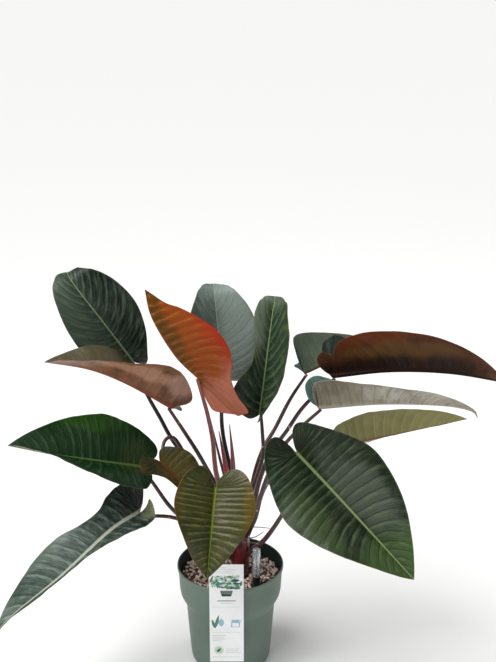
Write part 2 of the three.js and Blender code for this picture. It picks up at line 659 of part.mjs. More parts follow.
for (const sheath of SHEATHS) {
	addMesh(sheath.name, toGeometry(cutClear(sheath.route, sheath.radii, 6, 7)), sheath.colour, 0.4);
}

for (const root of ROOTS) {
	const radii = [root.radius, root.radius, root.radius * 0.6];
	addMesh(root.name, toGeometry(cutClear(root.route, radii, 5, 5)), root.colour, 0.7);
}

export default group;
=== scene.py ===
# Potted red-leaved philodendron: leaves, stalks, pot, granules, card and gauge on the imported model.
# Metres, +Z up, the front towards -Y. The lists for the plant, the pot and what stands in it are in
# millimetres. Colours are display values, 0 to 255, and NodeWriter.put() turns them into linear ones.
from math import cos, pi, radians, sin, tau

import bmesh
import bpy
import numpy as np
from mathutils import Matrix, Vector


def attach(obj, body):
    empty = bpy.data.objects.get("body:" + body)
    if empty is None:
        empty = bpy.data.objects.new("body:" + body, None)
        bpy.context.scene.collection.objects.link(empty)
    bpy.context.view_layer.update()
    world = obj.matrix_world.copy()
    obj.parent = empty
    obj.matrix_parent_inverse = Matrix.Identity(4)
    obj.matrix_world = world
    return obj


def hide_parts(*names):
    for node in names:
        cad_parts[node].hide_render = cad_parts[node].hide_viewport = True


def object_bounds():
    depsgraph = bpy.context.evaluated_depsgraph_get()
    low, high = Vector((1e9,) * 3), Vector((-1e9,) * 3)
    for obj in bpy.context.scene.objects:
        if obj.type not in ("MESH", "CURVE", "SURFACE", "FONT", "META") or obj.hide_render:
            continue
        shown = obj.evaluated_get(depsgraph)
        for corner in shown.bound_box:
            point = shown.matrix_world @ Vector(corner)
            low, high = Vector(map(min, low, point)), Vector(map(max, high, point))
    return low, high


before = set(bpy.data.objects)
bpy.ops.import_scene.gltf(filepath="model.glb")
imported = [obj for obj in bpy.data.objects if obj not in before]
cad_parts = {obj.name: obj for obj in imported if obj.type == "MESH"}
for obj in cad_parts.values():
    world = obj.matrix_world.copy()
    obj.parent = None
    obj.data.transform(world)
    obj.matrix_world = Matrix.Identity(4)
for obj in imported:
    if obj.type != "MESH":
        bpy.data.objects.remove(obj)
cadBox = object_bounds()
print("frame loaded:", len(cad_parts), "nodes")


# Small tools

def mm(values):
    return np.asarray(values, dtype=float) * 0.001


def colour(red, green, blue):
    # display colour to the linear value that a shader socket takes
    share = [value / 255 for value in (red, green, blue)]
    linear = [s / 12.92 if s <= 0.04045 else ((s + 0.055) / 1.055) ** 2.4 for s in share]
    return (*linear, 1)


def unit(vectors):
    return vectors / np.maximum(np.linalg.norm(vectors, axis=-1, keepdims=True), 1e-12)


def smoothCurve(points, u, extend=True):
    # Catmull-Rom through all points; u counts points from the first one
    points = np.asarray(points, dtype=float)
    first = 2 * points[0] - points[1] if extend else points[0]
    last = 2 * points[-1] - points[-2] if extend else points[-1]
    knots = np.vstack([first, points, last])
    u = np.clip(u, 0, len(points) - 1)
    i = np.minimum(u.astype(int), len(points) - 2)
    f = (u - i)[..., None]
    a, b, c, d = knots[i], knots[i + 1], knots[i + 2], knots[i + 3]
    return b + 0.5 * f * (c - a + f * (2 * a - 5 * b + 4 * c - d + f * (3 * (b - c) + d - a)))


class Route:
    # a smooth curve that is read by the share of its length
    def __init__(self, points, samples=400):
        self.points = np.asarray(points, dtype=float)
        self.u = np.linspace(0, len(points) - 1, samples * (len(points) - 1) + 1)
        places = smoothCurve(self.points, self.u)
        steps = np.linalg.norm(np.diff(places, axis=0), axis=1)
        self.travel = np.concatenate([[0], np.cumsum(steps)])
        self.length = self.travel[-1]

    def place(self, share):
        u = np.interp(np.asarray(share) * self.length, self.travel, self.u)
        return smoothCurve(self.points, u)

    def heading(self, share, step=1e-3):
        share = np.asarray(share, dtype=float)
        ahead, behind = np.clip(share + step, 0, 1), np.clip(share - step, 0, 1)
        return unit(self.place(ahead) - self.place(behind))


def placed(name, data):
    thing = bpy.data.objects.new(name, data)
    bpy.context.scene.collection.objects.link(thing)
    return thing


def newObject(name, mesh, materials, smooth=True):
    piece = placed(name, mesh)
    for material in materials:
        mesh.materials.append(material)
    if smooth:
        mesh.polygons.foreach_set("use_smooth", [True] * len(mesh.polygons))
    return piece


def cleanMesh(mesh, near, least, turnOut=False):
    # joins points that lie near each other and drops edges shorter than least
    form = bmesh.new()
    form.from_mesh(mesh)
    bmesh.ops.remove_doubles(form, verts=form.verts, dist=near)
    bmesh.ops.dissolve_degenerate(form, edges=form.edges, dist=least)
    if turnOut:
        bmesh.ops.recalc_face_normals(form, faces=form.faces)
    form.to_mesh(mesh)
    form.free()


def settle(piece, slot, *nodes):
    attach(piece, "root")
    if nodes:
        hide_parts(*nodes)
    return piece


# Node tools

class NodeWriter:
    # a short way to place and link nodes in a tree
    def __init__(self, tree):
        self.tree = tree

    def add(self, kind, values=(), **settings):
        node = self.tree.nodes.new(kind)
        for key, value in settings.items():
            setattr(node, key, value)
        for key, value in dict(values).items():
            self.put(node.inputs[key], value)
        return node

    def put(self, socket, value):
        if isinstance(value, bpy.types.NodeSocket):
            self.tree.links.new(value, socket)
        elif socket.type == "RGBA" and len(value) == 3:
            socket.default_value = colour(*value)
        else:
            socket.default_value = value

    def math(self, operation, a, b=0.0, clamp=False):
        node = self.add("ShaderNodeMath", {0: a, 1: b}, operation=operation, use_clamp=clamp)
        return node.outputs[0]

    def plus(self, a, b):
        return self.math("ADD", a, b)

    def minus(self, a, b):
        return self.math("SUBTRACT", a, b)

    def times(self, a, b):
        return self.math("MULTIPLY", a, b)

    def sway(self, value, gain):
        # how far a value from 0 to 1 is from its middle, times gain
        return self.times(self.minus(value, 0.5), gain)

    def mix(self, amount, a, b):
        values = {0: amount, 6: a, 7: b}
        return self.add("ShaderNodeMix", values, data_type="RGBA", clamp_factor=True).outputs[2]

    def cover(self, tone, mask, amount, over):
        # lays a colour over a tone where the mask is
        return self.mix(self.times(mask, amount), tone, over)

    def band(self, value, low, high):
        # 0 below low, 1 above high, smooth between; low may be the larger
        values = {0: value, 1: low, 2: high, 3: 0.0, 4: 1.0}
        node = self.add("ShaderNodeMapRange", values, interpolation_type="SMOOTHSTEP", clamp=True)
        return node.outputs[0]

    def noise(self, vector, scale, detail=3.0, rough=0.55):
        values = {"Vector": vector, "Scale": scale, "Detail": detail, "Roughness": rough}
        return self.add("ShaderNodeTexNoise", values).outputs[0]

    def length(self, x, y):
        squares = self.plus(self.times(x, x), self.times(y, y))
        return self.math("SQRT", squares)

    def here(self):
        return self.add("ShaderNodeTexCoord").outputs["Object"]

    def attribute(self, name):
        return self.add("ShaderNodeAttribute", attribute_name=name).outputs["Fac"]

    def split(self, vector):
        return self.add("ShaderNodeSeparateXYZ", {0: vector}).outputs

    def combine(self, x, y, z=0.0):
        return self.add("ShaderNodeCombineXYZ", {0: x, 1: y, 2: z}).outputs[0]

    def bump(self, surface, height, distance, strength):
        values = {"Height": height, "Distance": distance, "Strength": strength}
        self.put(surface.inputs["Normal"], self.add("ShaderNodeBump", values).outputs[0])

    def store(self, geometry, name, value, domain="POINT"):
        values = {"Geometry": geometry, "Name": name, "Value": value}
        node = self.add("GeometryNodeStoreNamedAttribute", values, data_type="FLOAT", domain=domain)
        return node.outputs[0]

    def shift(self, geometry, offset):
        values = {"Geometry": geometry, "Offset": offset}
        return self.add("GeometryNodeSetPosition", values).outputs[0]

    def group(self, tree, values):
        node = self.tree.nodes.new("ShaderNodeGroup")
        node.node_tree = tree
        for key, value in values.items():
            self.put(node.inputs[key], value)
        return node.outputs


def treeWith(name, kind, inputs, outputs):
    # an empty node tree with its sockets, and the ends that its nodes are linked to
    tree = bpy.data.node_groups.new(name, kind)
    for key, socketKind, value in inputs:
        socket = tree.interface.new_socket(name=key, in_out="INPUT", socket_type=socketKind)
        if value is not None:
            socket.default_value = value
    for key, socketKind in outputs:
        tree.interface.new_socket(name=key, in_out="OUTPUT", socket_type=socketKind)
    given = tree.nodes.new("NodeGroupInput").outputs
    return tree, NodeWriter(tree), given, tree.nodes.new("NodeGroupOutput").inputs


def newMaterial(name, plain):
    material = bpy.data.materials.new(name)
    material.use_nodes = True
    shader = NodeWriter(material.node_tree)
    surface = material.node_tree.nodes["Principled BSDF"]
    for key, value in plain.items():
        shader.put(surface.inputs[key], value)
    return material, shader, surface


# Veins: reads the vein map (across the blade from edge to edge, along the edge from notch to tip)
# and gives the side veins, the fine veins, a painted sheen stripe on one side of each vein, and
# streaks that run with them, which the leaves use as painted sheen and for gloss and relief.
veinPattern = dict(
    driftScale=22.0, edgeFade=(1.0, 0.72), fineEdge=0.45, streakStretch=(5.0, 2.6), streakRough=0.6,
    streakBand=(0.42, 0.66), stripeRise=(0.02, 0.22), stripeFall=(0.62, 0.24), stripeLeast=0.25)


def makeVeinGroup(look):
    tree, s, given, out = treeWith(
        "bladeVeins", "ShaderNodeTree",
        [("Vein Map", "NodeSocketVector", None), ("Place", "NodeSocketVector", None),
         ("Veins", "NodeSocketFloat", 16.0), ("Width", "NodeSocketFloat", 0.24),
         ("Fine Veins", "NodeSocketFloat", 5.0), ("Wander", "NodeSocketFloat", 0.010)],
        [("Vein", "NodeSocketFloat"), ("Fine", "NodeSocketFloat"), ("Sheen Stripe", "NodeSocketFloat"),
         ("Sheen Streak", "NodeSocketFloat")])
    parts = s.split(given["Vein Map"])
    drift = s.sway(s.noise(given["Place"], look["driftScale"]), given["Wander"])
    along = s.times(s.plus(parts[1], drift), given["Veins"])
    swing = s.math("ABSOLUTE", s.math("SINE", s.times(along, pi)))
    fine = s.times(s.times(along, given["Fine Veins"]), pi)
    fine = s.math("ABSOLUTE", s.math("SINE", fine))
    across = s.math("ABSOLUTE", s.minus(s.times(parts[0], 2.0), 1.0))
    fade = s.band(across, *look["edgeFade"])
    stretchAcross, stretchAlong = look["streakStretch"]
    lines = s.combine(s.times(parts[0], stretchAcross), s.times(along, stretchAlong))
    streak = s.band(s.noise(lines, 1.0, rough=look["streakRough"]), *look["streakBand"])
    # painted sheen: a light stripe just past each vein
    phase = s.math("FRACT", along)
    sheenStripe = s.times(s.band(phase, *look["stripeRise"]), s.band(phase, *look["stripeFall"]))
    least = look["stripeLeast"]
    broken = s.plus(s.times(streak, 1 - least), least)
    s.put(out["Vein"], s.times(s.band(swing, given["Width"], 0.0), fade))
    s.put(out["Fine"], s.times(s.band(fine, look["fineEdge"], 0.0), fade))
    s.put(out["Sheen Stripe"], s.times(s.times(sheenStripe, broken), fade))
    s.put(out["Sheen Streak"], streak)
    return tree


# Mottle: soft uneven tone in two sizes.
def makeMottleGroup(toneBand=(0.3, 0.7)):
    tree, s, given, out = treeWith(
        "softMottle", "ShaderNodeTree",
        [("Place", "NodeSocketVector", None), ("Size", "NodeSocketFloat", 30.0),
         ("Fine", "NodeSocketFloat", 160.0)],
        [("Tone", "NodeSocketFloat"), ("Grain", "NodeSocketFloat")])
    s.put(out["Tone"], s.band(s.noise(given["Place"], given["Size"], 4.0), *toneBand))
    s.put(out["Grain"], s.noise(given["Place"], given["Fine"], 2.0))
    return tree


veinGroup = makeVeinGroup(veinPattern)
mottleGroup = makeMottleGroup()


def mottled(s, place, size=30.0, fine=160.0):
    return s.group(mottleGroup, {"Place": place, "Size": size, "Fine": fine})


# spread: how the second tone grows along the blade, to its right, from the start and with noise;
# patches: soft places of another tone, each as place along, place across, its half length, its half
# width, colour and amount; band is the painted sheen stripe beside each vein, and streak the
# painted sheen along the veins.
leafFinish = dict(
    base=(30, 44, 31), second=(22, 33, 23), spread=(0.0, 0.0, 0.0, 0.6), patches=(),
    band=(86, 98, 86), bandAmount=0.22, vein=(16, 26, 17), veinAmount=0.55,
    fine=(70, 84, 68), fineAmount=0.10, streak=(64, 78, 62), streakAmount=0.25,
    blotch=(120, 120, 50), blotchAmount=0.0, rib=(126, 142, 102), ribAmount=0.9, ribWidth=0.03,
    rim=(110, 90, 66), rimAmount=0.45, rough=0.36, coat=0.03, gloss=0.15)
# shared by all blades
leafSkin = dict(
    coatRough=0.25, patchWobble=0.3, patchEdge=(1.0, 0.45), blotchScale=60.0, blotchBand=(0.56, 0.68),
    rimBand=(0.485, 0.4985), ribReach=1.25, ribBand=(1.25, 0.75), roughSway=0.12, streakGloss=0.10,
    fineHeight=-0.5, grainHeight=0.5, streakHeight=0.6, relief=0.0004, reliefStrength=0.8)


def leafMaterial(name, finish, veinCount):
    look = dict(leafFinish, **leafSkin, **finish)
    material, s, surface = newMaterial(name, {
        "Coat Weight": look["coat"], "Coat Roughness": look["coatRough"],
        "Specular IOR Level": look["gloss"]})
    place = s.here()
    veinMap = s.add("ShaderNodeUVMap", uv_map="veinMap").outputs[0]
    bladeMap = s.split(s.add("ShaderNodeUVMap", uv_map="bladeMap").outputs[0])
    along, side = bladeMap[0], s.minus(s.times(bladeMap[1], 2.0), 1.0)
    veins = s.group(veinGroup, {"Vein Map": veinMap, "Place": place, "Veins": float(veinCount)})
    mottle = mottled(s, place)

    byLength, bySide, start, byNoise = look["spread"]
    share = s.plus(s.times(along, byLength), s.times(side, bySide))
    share = s.plus(s.plus(share, start), s.times(mottle["Tone"], byNoise))
    tone = s.mix(s.math("MAXIMUM", share, 0.0, clamp=True), look["base"], look["second"])
    for alongAt, sideAt, length, width, patchTone, amount in look["patches"]:
        x = s.math("DIVIDE", s.minus(along, alongAt), length)
        y = s.math("DIVIDE", s.minus(side, sideAt), width)
        away = s.plus(s.length(x, y), s.sway(mottle["Tone"], look["patchWobble"]))
        tone = s.cover(tone, s.band(away, *look["patchEdge"]), amount, patchTone)
    # painted sheen: light streaks along the veins and a light stripe beside each vein laid over the
    # tone
    tone = s.cover(tone, veins["Sheen Streak"], look["streakAmount"], look["streak"])
    tone = s.cover(tone, veins["Sheen Stripe"], look["bandAmount"], look["band"])
    tone = s.cover(tone, veins["Fine"], look["fineAmount"], look["fine"])
    tone = s.cover(tone, veins["Vein"], look["veinAmount"], look["vein"])
    if look["blotchAmount"]:
        blotch = s.band(s.noise(place, look["blotchScale"]), *look["blotchBand"])
        tone = s.cover(tone, blotch, look["blotchAmount"], look["blotch"])
    across = s.minus(s.split(veinMap)[0], 0.5)
    rim = s.band(s.math("ABSOLUTE", across), *look["rimBand"])
    tone = s.cover(tone, rim, look["rimAmount"], look["rim"])
    narrow = s.times(s.minus(look["ribReach"], along), look["ribWidth"])
    rib = s.band(s.math("DIVIDE", s.math("ABSOLUTE", side), narrow), *look["ribBand"])
    tone = s.cover(tone, rib, look["ribAmount"], look["rib"])
    s.put(surface.inputs["Base Color"], tone)

    rough = s.plus(s.sway(mottle["Tone"], look["roughSway"]), look["rough"])
    rough = s.minus(rough, s.times(veins["Sheen Streak"], look["streakGloss"]))
    s.put(surface.inputs["Roughness"], rough)
    height = s.plus(s.times(veins["Fine"], look["fineHeight"]),
                    s.times(mottle["Grain"], look["grainHeight"]))
    height = s.plus(height, s.times(veins["Sheen Streak"], look["streakHeight"]))
    s.bump(surface, height, look["relief"], look["reliefStrength"])
    return material


# Leaf blades

# Half outlines from the notch at the stalk round the lobe to the tip: shares of the midrib's length
# and of the half width.
outlines = dict(
    ovate=[
        (0, 0), (-.06, .1), (-.12, .25), (-.125, .42), (-.065, .6), (.03, .76), (.16, .92),
        (.32, 1), (.5, .9), (.68, .69), (.84, .4), (.94, .17), (1, 0)],
    heart=[
        (0, 0), (-.09, .12), (-.16, .3), (-.175, .52), (-.12, .74), (-.01, .9), (.12, .98),
        (.26, 1), (.42, .88), (.6, .66), (.77, .42), (.9, .19), (1, 0)],
    oval=[
        (0, 0), (-.04, .08), (-.08, .2), (-.085, .34), (-.03, .47), (.08, .64), (.23, .86),
        (.42, 1), (.6, .94), (.75, .78), (.86, .55), (.93, .32), (.975, .12), (1, 0)],
    eared=[
        (0, 0), (-.04, .12), (-.07, .28), (-.075, .46), (-.04, .6), (0, .52), (.03, .56),
        (.055, .76), (.11, .92), (.22, 1), (.4, .97), (.6, .8), (.8, .5), (.93, .2), (1, 0)],
    taper=[
        (0, 0), (-.05, .12), (-.08, .3), (-.09, .52), (-.07, .75), (-.02, .93), (.06, 1),
        (.18, .96), (.34, .8), (.5, .63), (.66, .47), (.8, .31), (.92, .13), (1, 0)],
    waisted=[
        (0, 0), (-.02, .16), (-.03, .38), (.02, .68), (.1, .92), (.2, 1), (.32, .86), (.44, .5),
        (.56, .42), (.7, .5), (.83, .58), (.92, .42), (.975, .18), (1, 0)],
    lobed=[
        (0, 0), (-.06, .14), (-.1, .38), (-.11, .68), (-.07, .92), (0, 1), (.08, .86), (.16, .6),
        (.28, .44), (.45, .38), (.68, .28), (.88, .13), (1, 0)],
    waved=[
        (0, 0), (-.06, .12), (-.12, .32), (-.13, .56), (-.07, .8), (.01, .9), (.09, .78),
        (.17, .56), (.28, .6), (.42, .82), (.56, .82), (.7, .62), (.84, .34), (.94, .14), (1, 0)],
    hanging=[
        (0, 0), (-.1, -.12), (-.22, -.22), (-.35, -.29), (-.62, .16), (-.4, .28), (-.22, .46),
        (-.12, .68), (.06, .92), (.28, 1), (.5, .87), (.7, .62), (.86, .33), (1, 0)],
)

# rib: the midrib; face, tipFace: where the upper side looks; half: half widths, left and right seen
# from above with the tip ahead; fold, tipFold: degrees that each half stands up; bend: degrees that
# its section curves over; lobe: reach of the basal lobes; lift: how far their ends leave the plane;
# wave: the edge's wave, its count and start; roll: how far the edge curls up, where along the edge
# and how widely; veins: side veins in each half; quilt: relief between them.
bladeShape = dict(
    shape="ovate", tipFace=None, tipFold=None, bend=(14, 14), lobe=(1, 1), lift=(0, 0),
    wave=(2, 2, 0), roll=((0, 0.2, 0.15), (0, 0.2, 0.15)), quilt=1, thickness=0.8, ribDepth=3.2)

leaves = dict(
    top_left=dict(
        rib=[(-159, 60, 521), (-203, 46, 592), (-243, 48, 648), (-259, 60, 668), (-264, 78, 670)],
        shape="oval", half=(62, 64), face=(.3, -1, .3), tipFace=(-.1, -.5, 1), fold=(15, 45),
        tipFold=(5, 5), lobe=(.5, .5), wave=(3, 2, .2), bend=(20, 26), veins=22,
        # upper side: the lighter base tone on the left half is green with painted sheen; the right
        # half takes the dark second tone
        upper=dict(base=(58, 72, 58), second=(14, 26, 15), spread=(-.15, 1.6, .42, .25), gloss=.18,
                   band=(118, 132, 118), bandAmount=.36, fine=(104, 118, 104), fineAmount=.08,
                   vein=(24, 36, 26), rib=(134, 150, 118), streak=(84, 98, 84), streakAmount=.35),
        under=dict(base=(88, 62, 46), second=(62, 54, 38))),
    copper_left=dict(
        rib=[(-93, -20, 474), (-160, -40, 523), (-219, -40, 547), (-291, -20, 551)], half=(68, 74),
        face=(.1, .6, .8), fold=(50, 27), tipFold=(-32, 74), lobe=(.8, 1), wave=(3, 2.5, .1),
        bend=(30, 14), veins=20,
        upper=dict(base=(74, 72, 48), second=(60, 54, 36), spread=(.2, 0, 0, .6), vein=(96, 58, 42),
                   veinAmount=.5, rib=(140, 76, 50), band=(106, 106, 80), streak=(96, 80, 58)),
        under=dict(base=(146, 100, 72), second=(96, 62, 44), spread=(-.25, 0, .1, .9),
                   veinAmount=.35,
                   # the pale patches at the bends are painted highlights
                   patches=((.1, .9, .3, .45, (186, 150, 128), .7),
                            (.55, .6, .3, .3, (168, 124, 98), .6),
                            (.02, -.5, .14, .4, (196, 160, 140), .7),
                            (.36, -.55, .3, .3, (188, 146, 122), .7)),
                   vein=(96, 62, 48), band=(168, 126, 102), fine=(160, 118, 94),
                   streak=(128, 86, 66), rib=(140, 66, 48), rim=(140, 72, 52), rough=.42)),
    new_red=dict(
        rib=[(-45, -40, 531), (-81, -55, 575), (-115, -60, 637), (-126, -50, 679)], shape="hanging",
        farShape="ovate", half=(74, 62), face=(.7, .6, .3), fold=(60, 40), wave=(0, 3, 0),
        bend=(22, 14), veins=22, quilt=.6,
        upper=dict(base=(150, 48, 14), second=(104, 40, 14), rib=(180, 92, 54),
                   patches=((-.35, 0, .4, 1.6, (176, 88, 60), .8),)),
        under=dict(base=(142, 64, 6), second=(164, 38, 2), spread=(-.3, -2.4, -1.3, .2),
                   patches=((.55, 0, .75, .4, (72, 54, 8), .9),
                            (-.38, 0, .4, 2, (184, 112, 92), .95)),
                   vein=(206, 132, 80), veinAmount=.12, band=(214, 138, 78), bandAmount=.3,
                   rib=(120, 70, 30), ribWidth=.04, ribAmount=.3, fine=(168, 84, 28),
                   streak=(158, 68, 8), rim=(190, 30, 3), rough=.34, coat=.06, gloss=.12)),
    back_grey=dict(
        rib=[(-8, 50, 496), (-17, 48, 566), (-23, 50, 625), (-25, 58, 645), (-26, 74, 652)],
        shape="oval", half=(56, 66), face=(0, -1, .2), tipFace=(0, -.3, .9), fold=(50, 12),
        tipFold=(12, 12), lobe=(.3, .3), wave=(3, 2, .6), veins=22,
        upper=dict(base=(122, 136, 128), second=(72, 88, 78), spread=(0, -1.2, .1, .35),
                   fine=(158, 170, 162), fineAmount=.2, vein=(84, 98, 88), veinAmount=.5,
                   rib=(160, 172, 160), band=(150, 162, 154), bandAmount=.35,
                   streak=(138, 152, 144)),
        under=dict(base=(96, 76, 58), second=(76, 64, 48))),
    top_centre=dict(
        rib=[(50, 30, 440), (59, 20, 529), (68, 28, 607), (72, 40, 628), (74, 56, 636)],
        shape="waisted", farShape="oval", half=(52, 58), face=(-.15, -1, .2), fold=(25, 80),
        tipFold=(25, 25), lobe=(1, .2), wave=(3, 2.5, .1), bend=(10, 10), veins=22,
        upper=dict(base=(24, 38, 24), second=(46, 62, 42), spread=(.9, 0, -.2, .4),
                   # the first patch is a painted silvery highlight near the tip on the left
                   patches=((.78, -.6, .34, .6, (122, 134, 116), .6),
                            (1, 0, .16, .8, (104, 118, 98), .5)),
                   band=(100, 118, 96), bandAmount=.5, fine=(108, 126, 102), fineAmount=.12,
                   streak=(70, 88, 64), rib=(150, 166, 120), ribWidth=.04, blotch=(130, 134, 56),
                   blotchAmount=.16, rim=(120, 122, 60)),
        under=dict(base=(76, 78, 50), second=(86, 66, 46))),
    right_back=dict(
        rib=[(126, 110, 483), (197, 140, 502), (269, 160, 506)], shape="taper", half=(44, 66),
        face=(-.2, .6, .8), fold=(40, 62), lobe=(.2, .3), veins=18,
        upper=dict(base=(52, 70, 59), second=(72, 86, 74)),
        under=dict(base=(98, 112, 94), second=(50, 62, 50), spread=(-1.2, 0, .25, .4),
                   vein=(72, 84, 70), band=(118, 130, 112), streak=(108, 120, 102),
                   rib=(84, 62, 52))),
    right_brown=dict(
        rib=[(167, 10, 515), (256, -10, 532), (350, -20, 532), (441, -30, 519)], shape="lobed",
        farShape="eared", half=(88, 70), face=(0, .6, .8), fold=(66, 48), tipFold=(40, 48),
        lobe=(.5, 1), lift=(6, 0), wave=(2, 2, .3), bend=(26, 26), veins=26,
        roll=((22, .16, .1), (0, .14, .1)),
        upper=dict(base=(30, 42, 34), second=(16, 24, 18), rib=(86, 74, 48)),
        under=dict(base=(64, 34, 15), second=(108, 78, 60), spread=(2.2, 0, -1.75, .3),
                   patches=((.22, 1, .45, .5, (98, 46, 15), .85),
                            (.4, .5, .4, .3, (90, 64, 26), .6), (.4, 0, .75, .5, (20, 10, 5), .97),
                            (.22, -1, .45, .5, (98, 46, 15), .8)),
                   vein=(60, 30, 16), veinAmount=.25, band=(92, 50, 24), bandAmount=.1,
                   fine=(98, 54, 28), fineAmount=.06, streak=(88, 44, 20), streakAmount=.1,
                   rib=(32, 17, 13), ribWidth=.1, ribAmount=.8, rim=(116, 60, 30), rimAmount=.6,
                   rough=.38, coat=.03)),
    right_silver=dict(
        rib=[(142, -40, 482), (237, -55, 495), (330, -60, 494), (377, -60, 485), (391, -60, 472)],
        shape="lobed", farShape="taper", half=(52, 48), face=(0, .5, .85), fold=(86, 48),
        tipFold=(50, 30), lobe=(.7, .3), wave=(2, 3, .5), bend=(20, 20), veins=24,
        upper=dict(base=(60, 94, 86), second=(44, 72, 64), rib=(110, 90, 68)),
        under=dict(base=(164, 158, 144), second=(112, 106, 86), spread=(-.9, 0, .45, .5),
                   patches=((.1, .8, .12, .5, (104, 96, 78), .7),
                            (.42, .4, .16, .4, (196, 192, 182), .6),
                            (.7, .5, .2, .5, (188, 184, 172), .5)),
                   vein=(100, 82, 66), veinAmount=.5, band=(166, 162, 146), bandAmount=.4,
                   fine=(170, 166, 150), streak=(120, 116, 96), streakAmount=.5,
                   rib=(160, 156, 142), rim=(176, 172, 160), rough=.45)),
    right_olive=dict(
        rib=[(193, 80, 363), (261, 70, 383), (338, 65, 403), (398, 60, 419)], half=(52, 52),
        face=(0, .35, .94), fold=(-8, 60), lobe=(.6, .6), bend=(16, 22), veins=24,
        upper=dict(base=(60, 74, 44), second=(78, 86, 50)),
        under=dict(base=(142, 138, 90), second=(112, 110, 66), spread=(-.5, 0, .2, .6),
                   vein=(172, 168, 126), veinAmount=.6, band=(158, 154, 110), bandAmount=.4,
                   fine=(158, 154, 114), streak=(118, 112, 70), rib=(122, 86, 62),
                   rim=(178, 176, 142), rough=.44)),
    front_right=dict(
        rib=[(106, -90, 426), (156, -125, 383), (217, -180, 334), (275, -235, 288)], half=(96, 96),
        face=(.1, -.8, .6), fold=(48, 14), tipFold=(14, 14), lobe=(.9, 1.1), wave=(4, 2, .4),
        bend=(20, 34), veins=32, quilt=1.3, roll=((0, .2, .1), (18, .17, .11)),
        upper=dict(base=(20, 31, 19), second=(14, 27, 14), spread=(-.6, 0, .3, .4),
                   patches=((.45, -.35, .4, .5, (74, 82, 72), .7),
                            (.9, 0, .3, .8, (58, 84, 36), .7), (.05, .8, .3, .5, (10, 36, 20), .85),
                            (.4, .7, .35, .4, (56, 74, 38), .6)),
                   band=(100, 110, 84), bandAmount=.42, vein=(10, 20, 8), veinAmount=.8,
                   fine=(88, 100, 70), streak=(72, 86, 56), streakAmount=.3, rib=(124, 140, 92),
                   ribWidth=.03, rim=(104, 104, 62), gloss=.17),
        under=dict(base=(82, 64, 46), second=(62, 56, 38))),
    front_centre=dict(
        rib=[(-21, -110, 376), (-27, -150, 315), (-33, -172, 251)], shape="heart", half=(68, 66),
        face=(0, -.7, .7), fold=(14, 26), lobe=(1.2, 1.2), wave=(4, 2.5, .2), bend=(26, 30),
        veins=27, quilt=1.6,
        upper=dict(base=(56, 58, 6), second=(24, 40, 8), spread=(0, .5, .15, .7),
                   patches=((.15, -1, .45, .4, (92, 76, 6), .75),
                            (.25, 1, .5, .3, (66, 52, 8), .65),
                            (.75, .7, .3, .4, (80, 52, 14), .6)),
                   band=(136, 132, 72), bandAmount=.42, vein=(22, 26, 4), veinAmount=.75,
                   fine=(98, 90, 40), streak=(92, 84, 34), rib=(104, 118, 40), ribWidth=.035,
                   rim=(142, 92, 66), rimAmount=.45, rough=.3, coat=.06, gloss=.28),
        under=dict(base=(108, 64, 38), second=(86, 56, 32), rim=(148, 86, 60))),
    left_long=dict(
        rib=[(-147, -20, 369), (-212, -45, 391), (-284, -60, 410), (-348, -70, 429)], half=(82, 82),
        face=(.1, -.7, .8), fold=(30, 5), tipFold=(75, 5), lobe=(.5, 1.1), wave=(3, 2, 0),
        bend=(26, 26), veins=28, quilt=.9,
        upper=dict(base=(9, 41, 10), second=(80, 96, 82), spread=(1.6, -.5, -1.2, .3),
                   patches=((.05, .1, .16, .6, (56, 62, 24), .5),
                            (.4, .85, .4, .35, (40, 78, 14), .6)),
                   band=(96, 124, 94), bandAmount=.26, vein=(8, 26, 9), veinAmount=.6,
                   fine=(46, 76, 44), fineAmount=.15, streak=(48, 80, 46), rib=(86, 112, 60),
                   rim=(92, 106, 74)),
        under=dict(base=(76, 70, 40), second=(56, 60, 34))),
    small_olive=dict(
        rib=[(-112, -40, 388), (-79, -60, 361), (-47, -60, 320)], farShape="lobed", half=(45, 42),
        face=(0, -.8, .5), fold=(10, 40), lobe=(1, 1.8), wave=(3, 2, .3), veins=16,
        upper=dict(base=(72, 60, 22), second=(28, 40, 20), spread=(0, 0, -.1, 1), rib=(108, 52, 34),
                   band=(96, 88, 44), streak=(84, 72, 32)),
        under=dict(base=(88, 68, 36), second=(60, 56, 28))),
    lower_left=dict(
        rib=[(-145, -60, 306), (-190, -95, 290), (-258, -170, 254), (-318, -230, 228),
             (-346, -250, 205)],
        shape="taper", farShape="waved", half=(54, 70), face=(-.33, -.15, .9), fold=(8, 34),
        tipFold=(30, 16), lobe=(.5, .8), lift=(24, 24), wave=(4, 2.5, .6), bend=(24, 14), veins=26,
        roll=((6, .3, .14), (12, .12, .08)),
        upper=dict(base=(40, 60, 48), second=(14, 21, 17), spread=(-2.6, 0, .78, .35), gloss=.3,
                   patches=((.5, .75, .4, .3, (92, 104, 92), .7),
                            (-.1, -.6, .16, .6, (130, 134, 92), .9),
                            (.95, 0, .2, .8, (60, 84, 64), .6)),
                   band=(140, 152, 144), bandAmount=.55, vein=(20, 38, 28), veinAmount=.65,
                   fine=(118, 132, 122), fineAmount=.1, streak=(96, 114, 104), streakAmount=.4,
                   rib=(188, 190, 174), ribWidth=.06, rim=(150, 150, 124), rimAmount=.7),
        under=dict(base=(102, 108, 70), second=(84, 92, 52), rib=(146, 152, 124))),
)

